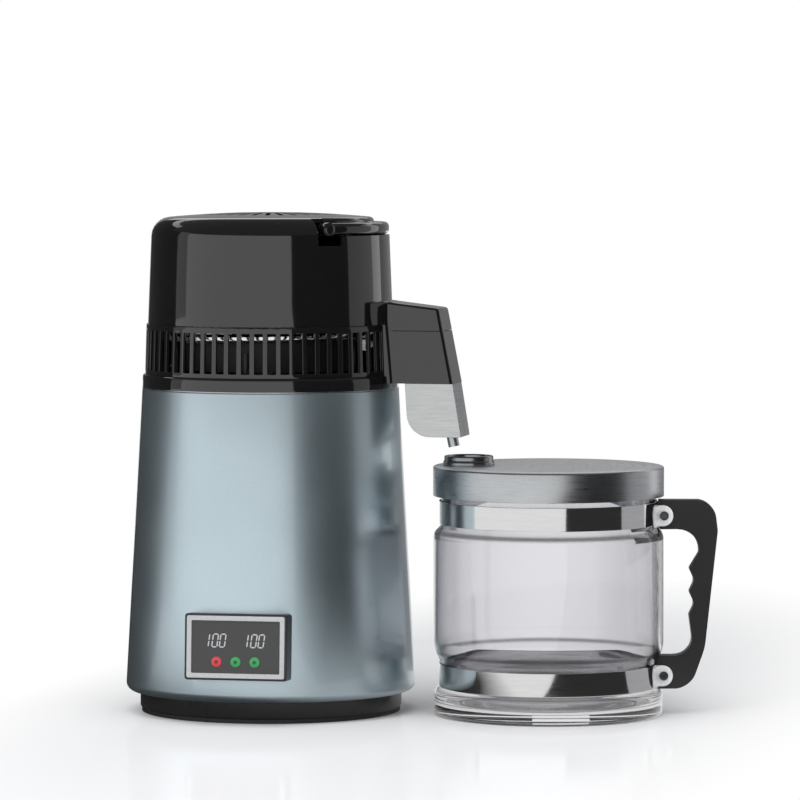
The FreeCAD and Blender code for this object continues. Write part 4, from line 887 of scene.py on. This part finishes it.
# %% [markdown]
# ## The carry handle
#
# The handle is a half ring of plastic with a soft rectangular section, hung on two
# pins. Its section is drawn once and swept half a turn; a short round hub at each
# end turns on the pin.

# %% The carry handle
bail = swept("carry_bail", [(75.5, 343.4, 3.4), (85.3, 343.4, 3.4), (85.3, 352.2, 3.4),
                            (75.5, 352.2, 3.4)], PIVOT, 180.0, steps=90)


def hub(side):
    """A round end of the handle, rounded at both faces."""
    clear()
    bpy.ops.mesh.primitive_cylinder_add(vertices=40, radius=4.8 * MM, depth=9.4 * MM,
                                        location=(80.4 * MM, 0.0, PIVOT_HEIGHT * MM),
                                        rotation=(0.0, math.radians(90.0), 0.0))
    end = bpy.context.object
    bpy.ops.object.transform_apply(location=True, rotation=True)
    soften(end, 1.2, lambda at: abs(abs(at.x - 80.4) - 4.7) < 0.01, 3)
    return moved(end, PIVOT + side)


bail = done(joined("carry_bail", bail, hub(0.0), hub(180.0)), 34.0)
fit(bail, "carry_handle", GLOSS_BLACK, "gloss_black", "carry_handle")


def pin(side):
    """A pin with a low domed head, lying along +X before it is turned to its pocket."""
    made = turned("pin", [(0.3, 72.6), (2.0, 72.6, 0.3), (2.0, 85.1), (4.1, 85.1, 0.3), (3.7, 85.7, 0.8),
                          (2.2, 86.3, 1.5), (0.3, 86.4)], steps=40, ends="caps")
    moved(made, 90.0, about="Y")
    return moved(made, PIVOT + side, (0.0, 0.0, PIVOT_HEIGHT))


pins = done(joined("handle_pin_caps", pin(0.0), pin(180.0)), 30.0)
fit(pins, "head", GLOSS_BLACK, "gloss_black", "handle_pins")

# %% [markdown]
# ## The spout
#
# The spout is a hollow, slanted box of the same black moulding. It grows out of a
# pad on the side of the head, and its upper third is a cap over the filter cup.
# Both parts share one side view, so they are cut from plate with the same slopes,
# their upright outer edges are rounded, and a smaller plate hollows each of them.

# %% The spout's side view
SPOUT_LOW = 237.4
SPOUT_SPLIT = 274.8
PAD_TOP = 296.0


def face_x(height):
    """The spout's face against the head at a height."""
    return 94.1 - (height - SPOUT_LOW) * 4.8 / 58.3


def end_x(height):
    """The spout's outer end at a height."""
    return 138.0 - (height - SPOUT_LOW) * 10.4 / 53.6


def spout_block(name, low, high, high_end, inset=0.0, half=17.0):
    """A length of the spout between two heights, drawn in by a wall where asked."""
    return plate(name, [(face_x(low) + inset, low), (face_x(high) + inset, high),
                        (end_x(high_end) - inset, high_end), (end_x(low) - inset, low)],
                 "XZ", -half, 2 * half)


lower = spout_block("spout_body", SPOUT_LOW, SPOUT_SPLIT, SPOUT_SPLIT)
for side in (-1, 1):
    soften(lower, 3.6, lambda at: at.x > end_x(at.z) - 0.05 and at.y * side > 0, 6)
cut_out(lower, spout_block("hollow", 239.6, 295.0, 295.0, 2.2, 14.8))
soften(lower, 0.15, lambda at: abs(at.z - SPOUT_SPLIT) < 0.02, 2)

cap = spout_block("spout_cap", 275.1, 295.7, 291.0)
for side in (-1, 1):
    soften(cap, 3.6, lambda at: at.x > end_x(at.z) - 0.05 and at.y * side > 0, 6)
soften(cap, 1.6, lambda at: at.z > 290.9, 4)
cut_out(cap, spout_block("hollow", 270.0, 293.3, 288.8, 2.2, 14.8))
soften(cap, 0.15, lambda at: abs(at.z - 275.1) < 0.02, 2)
fit(cap, "spout_cap", GLOSS_BLACK, "gloss_black", "spout_cap")

# %% [markdown]
# The spout grows out of a pad that lies against the head. The upper corners of the
# pad are moved inwards, so that it leans like the front of the spout.

# %% The pad on the head
pad = plate("pad", [(84.0, -18.6), (92.6, -18.6), (94.1, -17.1), (94.1, 17.1), (92.6, 18.6), (84.0, 18.6)],
            "XY", SPOUT_LOW, PAD_TOP - SPOUT_LOW)
edit("VERT")
pick("VERT", lambda at: at.z > PAD_TOP - 0.1 and at.x > 85.0)
bpy.ops.transform.translate(value=(-5.08 * MM, 0.0, 0.0))
bpy.ops.object.mode_set(mode="OBJECT")
soften(pad, 2.0, lambda at: at.z > PAD_TOP - 0.1, 5)
wide = plate("wide_pad", [(70.0, -33.0), (81.4, -33.0, 1.0), (90.4, -17.5, 1.0), (90.4, 17.5, 1.0), (81.4, 33.0, 1.0),
                          (70.0, 33.0)], "XY", 279.3, 16.4)
for side in (-1, 1):
    soften(wide, 6.5, lambda at: at.z > 295.6 and at.y * side > 17.0, 8)
spout = joined("spout_body", lower, pad, wide)
fit(done(spout), "head", GLOSS_BLACK, "gloss_black", "spout_housing")

# %% [markdown]
# ## The nozzle
#
# Under the spout hangs a shroud of brushed metal with one big round corner, and the
# end of the outlet tube looks out of it. The side view again does all the work.

# %% The nozzle
nozzle = plate("nozzle", [(102.6, SPOUT_LOW), (105.0, 199.2, 16.5), (143.6, 199.2, 1.0), (137.45, SPOUT_LOW)],
               "XZ", -15.2, 30.4)
soften(nozzle, 2.4, lambda at: abs(abs(at.y) - 15.2) < 0.02 and at.z < SPOUT_LOW + 0.1, 5)
fit(nozzle, "head", SPOUT_SILVER, "brushed_silver", "nozzle_shell")

# %% [markdown]
# ## The display panel
#
# A black bezel stands on the casing's face and carries a silver frame, a smoked
# window with two numbers behind it and three small lit keys. It leans back with
# the casing, so its parts are drawn upright and leaned together.

# %% Bezel, frame and window
def on_panel(piece):
    """Leans a part of the panel and sets it on the front of the casing."""
    moved(piece, PANEL_LEAN, PANEL_PLACE, "X")
    return moved(piece, PANEL_TURN)


def sheet_of(width, tall, corner, z=0.0):
    """Corners of an upright rectangle."""
    a, b = width / 2, tall / 2
    return [(-a, z - b, corner), (a, z - b, corner), (a, z + b, corner), (-a, z + b, corner)]


bezel = plate("panel_bezel", sheet_of(73.5, 46.6, 2.0), "XZ", 0.6, 22.0)
soften(bezel, 0.6, lambda at: abs(at.y - 0.6) < 0.02, 3)
cut_out(bezel, plate("recess", sheet_of(65.0, 38.4, 1.0), "XZ", -5.0, 15.0))
fit(on_panel(done(bezel)), "machine", SATIN_BLACK, "gloss_black", "panel_housing")

frame_bar = plate("panel_frame", sheet_of(70.2, 43.6, 1.4), "XZ", 0.0, 2.4)
cut_out(frame_bar, plate("opening", sheet_of(63.6, 37.0, 0.8), "XZ", -5.0, 15.0))
done(frame_bar)
soften(frame_bar, 0.5, lambda at: abs(at.y) < 0.02, 3)
fit(on_panel(frame_bar), "machine", FRAME_SILVER, "silver_frame", "panel_frame")

window = plate("panel_window", sheet_of(63.6, 37.0, 0.6), "XZ", 1.0, 1.6)
SMOKED = moulded("smoked_window", (0.03, 0.03, 0.031), 0.22, coat=0.3)
fit(on_panel(window), "machine", SMOKED, "window", "display_window")

# %% [markdown]
# The numbers are seven-segment digits. One segment is a small pointed bar; a digit
# is the bars that its number needs, slanted a little, and the two groups of three
# are copies of those digits.

# %% The digits
DIGIT_SLANT = 0.14
SEGMENTS = {"1": "bc", "0": "abcdef"}
PLACES = {"a": (0.0, 2.0, 0.0), "b": (1.0, 1.0, 90.0), "c": (1.0, -1.0, 90.0), "d": (0.0, -2.0, 0.0),
          "e": (-1.0, -1.0, 90.0), "f": (-1.0, 1.0, 90.0)}


def digit(number, x, z, wide, tall):
    """One slanted seven-segment digit on the window."""
    bars = []
    for segment in SEGMENTS[number]:
        across, up, turn = PLACES[segment]
        length = (tall / 2 if turn else wide) - 0.5
        a = length / 2
        bar = plate("bar", [(-a, 0.0), (-a + 0.4, 0.42), (a - 0.4, 0.42), (a, 0.0), (a - 0.4, -0.42),
                            (-a + 0.4, -0.42)], "XZ", 0.93, 0.1)
        moved(bar, turn, about="Y")
        moved(bar, 0.0, (across * wide / 2, 0.0, up * tall / 4))
        bars.append(bar)
    made = joined("digit", *bars)
    lean = Matrix.Identity(4)
    lean[0][2] = DIGIT_SLANT
    made.data.transform(lean)
    return moved(made, 0.0, (x, 0.0, z))


digits = []
for group in (-14.8, 13.0):
    for place, number in enumerate("100"):
        digits.append(digit(number, group + (place - 1) * 5.4 - (0.9 if number == "1" else 0.0), 4.5,
                            3.7, 9.0))
readout = done(joined("readout", *digits), outward=False)
lit, tree, shader = paint("lit_digits")
give(shader, {"Base Color": (0.40, 0.41, 0.42, 1.0), "Emission Color": (0.9, 0.95, 1.0, 1.0),
              "Emission Strength": 0.1})
shimmer = grain(tree, 900.0, 2.0)
tree.links.new(between(tree, shimmer, 0.3, 0.4), shader.inputs["Roughness"])
fit(on_panel(readout), "machine", lit, "window")

# %% [markdown]
# A key is turned upright, laid over and put on the panel. Its darker middle and the
# lighter ring round it are a painted shade and a painted highlight, with no geometry:
# the material measures the distance from the middle of the key.

# %% The keys
def key(name, x, shade, slot, node):
    """A domed key, painted darker in its middle and lighter in a ring round it: a painted shade and a painted
    highlight.
    """
    cap = turned(name, [(3.7, -3.0), (3.7, 0.6, 0.35), (3.2, 0.75), (2.2, 0.95), (1.0, 1.05)],
                 steps=40, ends="caps")
    moved(cap, 90.0, about="X")
    moved(cap, 0.0, (x, 1.0, -10.5))
    made, tree, shader = paint(name + "_lit")
    place = add(tree, "TexCoord")
    middle = Matrix.Rotation(math.radians(PANEL_LEAN), 4, "X") @ Vector((x, 0.0, -10.5))
    middle = Matrix.Rotation(math.radians(PANEL_TURN), 4, "Z") @ (middle + Vector(PANEL_PLACE)) * MM
    centre = add(tree, "VectorMath", {1: middle}, operation="DISTANCE")
    ring = add(tree, "MapRange", {"From Min": 0.9 * MM, "From Max": 1.7 * MM})
    wire(tree, (place, "Object", centre, 0), (centre, "Value", ring, "Value"))
    # Painted shade and highlight: the middle of the key is a quarter of its shade and the ring round it the full
    # shade, in its colour and its glow.
    mix = add(tree, "Mix", {"A": (*[c * 0.25 for c in shade], 1.0), "B": (*shade, 1.0)}, data_type="RGBA")
    wire(tree, (ring, "Result", mix, "Factor"), (mix, "Result", shader, "Base Color"),
         (mix, "Result", shader, "Emission Color"))
    give(shader, {"Emission Strength": 0.08, "Roughness": 0.3})
    return fit(on_panel(cap), name, made, slot, node)


key("power_button", -13.7, (0.50, 0.045, 0.06), "red_key", "power_button")
key("down_button", 0.0, (0.035, 0.27, 0.08), "green_key", "down_button")
key("up_button", 13.7, (0.035, 0.27, 0.08), "green_key", "up_button")

# %% [markdown]
# ## The jug
#
# The jug stands free beside the machine. It is turned glass with a foot, a waist
# and a neck that are drawn in, so that a steel band can grip each of the last two.
# Real glass has two skins: the profile runs up the outside, over the rim and down
# the inside to the floor, and light bends at both, which gives part of the dark outlines.
# The rest is painted shade: the glass's colour is darker where it is seen edge-on and
# in dark rings where its profile turns.

# %% The jug's own place
def by_jug(piece):
    """Moves a piece from the jug's own axis to its place, turned towards the handle."""
    return moved(piece, 13.0, (201.0, 16.0, 0.0))


glass_line = [(2.0, 2.0), (62.0, 2.0, 1.0), (65.0, 0.0, 0.8), (81.7, 0.0, 3.0), (81.7, 17.6, 3.0),
              (77.4, 20.3, 0.7),
              (77.4, 38.0, 2.5), (82.4, 48.0, 5.0), (82.4, 130.0, 2.6), (76.7, 136.0, 2.5),
              (76.7, 172.0, 1.2), (73.9, 172.0, 1.2), (73.9, 135.3, 2.5), (79.6, 128.6, 2.6),
              (79.6, 48.7, 5.0), (74.6, 38.7, 2.5), (74.6, 7.0, 5.0), (40.0, 7.0), (2.0, 7.0)]
jug = turned("jug_glass_body", glass_line, steps=160, ends="caps", smooth=50.0)
GLASS, tree, shader = paint("clear_glass")
give(shader, {"Transmission Weight": 1.0, "IOR": 1.5, "Roughness": 0.0})
# Painted shade: the glass's colour turns dark where it is seen edge-on, for the dark outlines that bending light
# gives; a little of it is the real tint of a longer path through the glass.
facing = add(tree, "LayerWeight", {"Blend": 0.25})
grazing_shade = add(tree, "Mix", {"A": (0.86, 0.855, 0.875, 1.0), "B": (0.13, 0.13, 0.14, 1.0)}, data_type="RGBA")
wire(tree, (facing, "Facing", grazing_shade, "Factor"))
# Painted shade: dark rings in the glass's colour at its bottom, at the step above the foot and at both corners of the
# barrel.
height = add(tree, "SeparateXYZ")
rings = add(tree, "ValToRGB")
for place, tone in ((1.4, 0.25), (2.8, 0.9), (16.6, 0.9), (18.0, 0.2), (19.6, 1.0), (42.8, 1.0),
                    (45.0, 0.2), (47.0, 1.0), (129.0, 1.0), (131.0, 0.08), (133.0, 1.0)):
    stop = rings.color_ramp.elements.new(place / 200.0)
    stop.color = (tone, tone, tone, 1.0)
rings.color_ramp.elements.remove(rings.color_ramp.elements[-1])
rings.color_ramp.elements[0].color = (0.25, 0.25, 0.25, 1.0)
tall = add(tree, "Math", {1: 5.0}, operation="MULTIPLY")
own = add(tree, "TexCoord")
thick = add(tree, "Mix", {"Factor": 1.0}, data_type="RGBA", blend_type="MULTIPLY")
wire(tree, (own, "Object", height, 0), (height, "Z", tall, 0), (tall, 0, rings, "Fac"),
     (grazing_shade, "Result", thick, "A"), (rings, "Color", thick, "B"), (thick, "Result", shader, "Base Color"))
ripple = grain(tree, 16.0, 2.0, (1.0, 1.0, 0.35))
bumped(tree, shader, ripple, 0.05, 1.0)
fit(by_jug(jug), "jug", GLASS, "glass", "jug_glass")

# %% [markdown]
# ## The bands
#
# Each band is a strip of polished steel round the glass, open where the handle sits,
# and its ends turn out into a pair of rounded ears with a screw through
# them. The strip is swept from a thin section; the ears are plates on both sides.

# %% The bands and ears
def band_round(name, low):
    """One band, open where the handle sits."""
    gap = math.degrees(math.asin(7.1 / 78.4))
    strip = swept(name, [(77.7, low), (78.4, low), (78.4, low + 16.6), (77.7, low + 16.6)],
                  gap, 360.0 - 2 * gap, steps=120)
    for rim in (low, low + 16.6):
        soften(strip, 0.25, lambda at: math.hypot(at.x, at.y) > 78.3 and abs(at.z - rim) < 0.02, 2)
    return by_jug(done(strip, 40.0))


def ears_at(centre):
    """The two rounded ears at the ends of a band, each on a saddle that hugs the band."""
    ears = []
    for side in (-8.4, 7.1):
        ear = plate("ear", [(77.6, centre - 7.5), (88.9, centre - 7.5, 7.3), (88.9, centre + 7.5, 7.3),
                            (77.6, centre + 7.5)], "XZ", side, 1.3)
        soften(ear, 0.35, lambda at: abs(at.y - side) < 0.02 or abs(at.y - side - 1.3) < 0.02, 2)
        ears.append(ear)
    for start in (-19.0, 5.4):
        ears.append(swept("saddle", [(78.4, centre - 7.4), (78.9, centre - 7.4), (78.9, centre + 7.4),
                                     (78.4, centre + 7.4)], start, 13.6, steps=6))
    return by_jug(done(joined("band_ears", *ears), 40.0))


EARS = (142.8, 28.0)
BAND = polished("band_steel", (0.69, 0.69, 0.695), 0.07)
# Painted highlight: the steel ears are given a near-white colour for the bright light that they reflect.
EAR = moulded("ear_painted_highlight", (0.93, 0.93, 0.935), 0.35, coat=0.3)
fit(band_round("neck_band", 136.8), "jug", BAND, "chrome_band", "upper_band")
fit(band_round("waist_band", 20.4), "jug", BAND, "chrome_band", "lower_band")
fit(joined("band_ears", *[ears_at(centre) for centre in EARS]), "jug", EAR, "chrome_band")

# %% [markdown]
# A screw closes each band: a round head with a recess in front of the ears, its shank
# through both of them, and a hexagon nut behind.

# %% The screws through the ears
def ear_screw(centre):
    """A round screw head with a recess, and the shank behind it."""
    head = turned("ear_screw", [(0.6, -1.4), (1.9, -1.4), (1.9, 0.0, 0.1), (3.2, 0.0, 0.6), (3.2, -2.0), (2.0, -2.0),
                                (2.0, -18.6), (0.6, -18.6)], steps=48, ends="caps")
    moved(head, 90.0, about="X")
    return moved(head, 0.0, (82.4, -10.4, centre))


screws = done(by_jug(joined("band_screw_heads", *[ear_screw(centre) for centre in EARS])), 34.0)
BLACK_STEEL = polished("black_steel", (0.09, 0.09, 0.095), 0.22)
fit(screws, "jug", BLACK_STEEL, "zinc", "band_screws")


def ear_nut(centre):
    """A hexagon nut behind the ears, its corners chamfered."""
    clear()
    bpy.ops.mesh.primitive_cylinder_add(vertices=6, radius=4.0 * MM, depth=2.4 * MM,
                                        location=(82.4 * MM, 9.6 * MM, centre * MM),
                                        rotation=(math.radians(90.0), 0.0, 0.0))
    nut = bpy.context.object
    bpy.ops.object.transform_apply(location=True, rotation=True)
    return soften(nut, 0.35, lambda at: at.y > 10.7, 2)


nuts = done(by_jug(joined("band_nut_pair", *[ear_nut(centre) for centre in EARS])), 34.0)
fit(nuts, "jug", STEEL, "zinc", "band_nuts")

# %% [markdown]
# ## The handle
#
# The handle is a black moulding with four hollows for the fingers. Its outline is
# drawn corner by corner, each rounded to its own radius, and given its width; a
# bevel all round softens the edges where the hand goes.

# %% The jug's handle
handle_line = [(78.6, 154.0, 1.0), (118.2, 154.0, 14.0), (120.9, 132.0, 12.0), (111.9, 48.0, 40.0),
               (101.4, 18.6, 16.0), (78.6, 18.6, 1.0), (77.2, 38.0, 0.5), (79.6, 42.4, 0.5), (104.4, 42.4, 13.0)]
for cusp in (71.4, 88.0):
    handle_line += [(100.5, cusp, 2.0), (104.5, cusp + 8.3, 7.0)]
handle_line += [(100.5, 104.6, 2.0), (107.4, 116.0, 4.0), (107.4, 133.0, 15.0), (78.6, 133.0, 1.0)]
grip = plate("jug_grip", handle_line, "XZ", -7.0, 14.0)
barrel = turned("barrel", [(2.0, 38.2), (77.8, 38.2), (82.7, 47.8), (82.7, 130.0), (77.8, 135.6), (2.0, 135.6)],
                ends="caps")
cut_out(grip, barrel)
done(grip)
soften(grip, 2.0, lambda at: abs(abs(at.y) - 7.0) < 0.02 and at.x > 84.5, 4)
fit(by_jug(grip), "jug", GRIP_BLACK, "grip_black", "jug_handle")

# %% [markdown]
# ## The lid
#
# The lid is a drawn cap of brushed metal with a low collar over its inlet. It is
# turned in one go, top and skirt, with the hole left out by cutting, and the collar
# is turned beside it on its own axis.

# %% Lid and collar
lid = turned("jug_lid_cap", [(2.0, 177.2), (81.6, 177.2, 0.8), (81.6, 157.0), (82.6, 157.0, 0.3),
                             (82.6, 178.2, 1.6), (60.0, 178.2), (2.0, 178.2)], steps=160, ends="caps")
hole = turned("hole", [(2.0, 150.0), (12.5, 150.0), (12.5, 190.0), (2.0, 190.0)], steps=64, ends="caps")
moved(hole, 0.0, (-57.0, 0.0, 0.0))
cut_out(lid, hole)
fit(by_jug(done(lid)), "jug_lid", LID_SILVER, "brushed_silver", "jug_lid")

collar = turned("lid_collar", [(12.5, 178.2), (18.4, 178.2, 0.3), (18.4, 181.0, 0.8), (17.6, 182.2, 0.6),
                               (17.6, 185.6, 1.2), (15.0, 185.6, 1.0), (15.0, 179.8), (12.5, 179.8)],
                steps=96)
moved(collar, 0.0, (-57.0, 0.0, 0.0))
fit(by_jug(collar), "jug_lid", DARK_CHROME, "dark_steel", "inlet_collar")

# %% [markdown]
# ## The parts inside
#
# The solids that stay as they are still show through the slots, from below or when
# a part is lifted off, so each of them gets a finish of its own: zinc, aluminium
# and steel for what is metal, plain plastics and silicone for what is moulded, and
# felt for the charcoal sachet. A finish is set in the slots of the solid's object.

# %% Finishes for the inner parts
ZINC = polished("zinc", (0.58, 0.59, 0.60), 0.3)
ALUMINIUM = brushed("cast_aluminium", (0.66, 0.67, 0.68), 0.42, (3.0, 3.0, 3.0), 0.2)
ELEMENT = polished("element_sheath", (0.30, 0.28, 0.26), 0.34)
MICA = moulded("dark_phenolic", (0.035, 0.024, 0.018), 0.38, peel=0.1)
BOARD = moulded("board_lacquer", (0.012, 0.085, 0.035), 0.3, coat=0.3, scale=500.0)
NYLON = moulded("pale_nylon", (0.60, 0.585, 0.53), 0.42, peel=0.06)
SHEATH = moulded("wire_sheath", (0.30, 0.028, 0.022), 0.36, peel=0.05)
SILICONE = moulded("silicone", (0.50, 0.50, 0.49), 0.5, peel=0.12, scale=500.0)
FELT = moulded("sachet_felt", (0.42, 0.41, 0.38), 0.85, peel=0.7, scale=1500.0)


def dress(finish, *names):
    """Puts a finish into every slot of solids that stay."""
    for name in names:
        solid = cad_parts[name]
        if not solid.material_slots:
            solid.data.materials.append(finish)
        for slot in solid.material_slots:
            slot.material = finish
    print(finish.name, "on", ", ".join(names))


# %% [markdown]
# Each call gives one finish to all the solids that it names.

# %% Dress the parts that stay
dress(RUBBER, "foot_ring")
dress(SATIN_BLACK, "bottom_cover", "power_inlet", "coil_supports", "fan_blades")
dress(ZINC, "cover_screws", "inlet_screws", "motor_screws", "inlet_pins", "motor_bracket", "heater_clamp")
dress(STEEL, "boiler", "condenser_lid", "fan_motor", "outlet_tube", "strainer_cup")
dress(ALUMINIUM, "heater_plate")
dress(ELEMENT, "heater_element")
dress(MICA, "thermostat", "thermal_cutout")
dress(BOARD, "control_board")
dress(NYLON, "display_lamps", "fan_socket", "fan_plug", "filter_cup")
dress(SHEATH, "wiring_loom")
dress(SILICONE, "lid_seal", "lid_gasket")
dress(FELT, "charcoal_sachet")
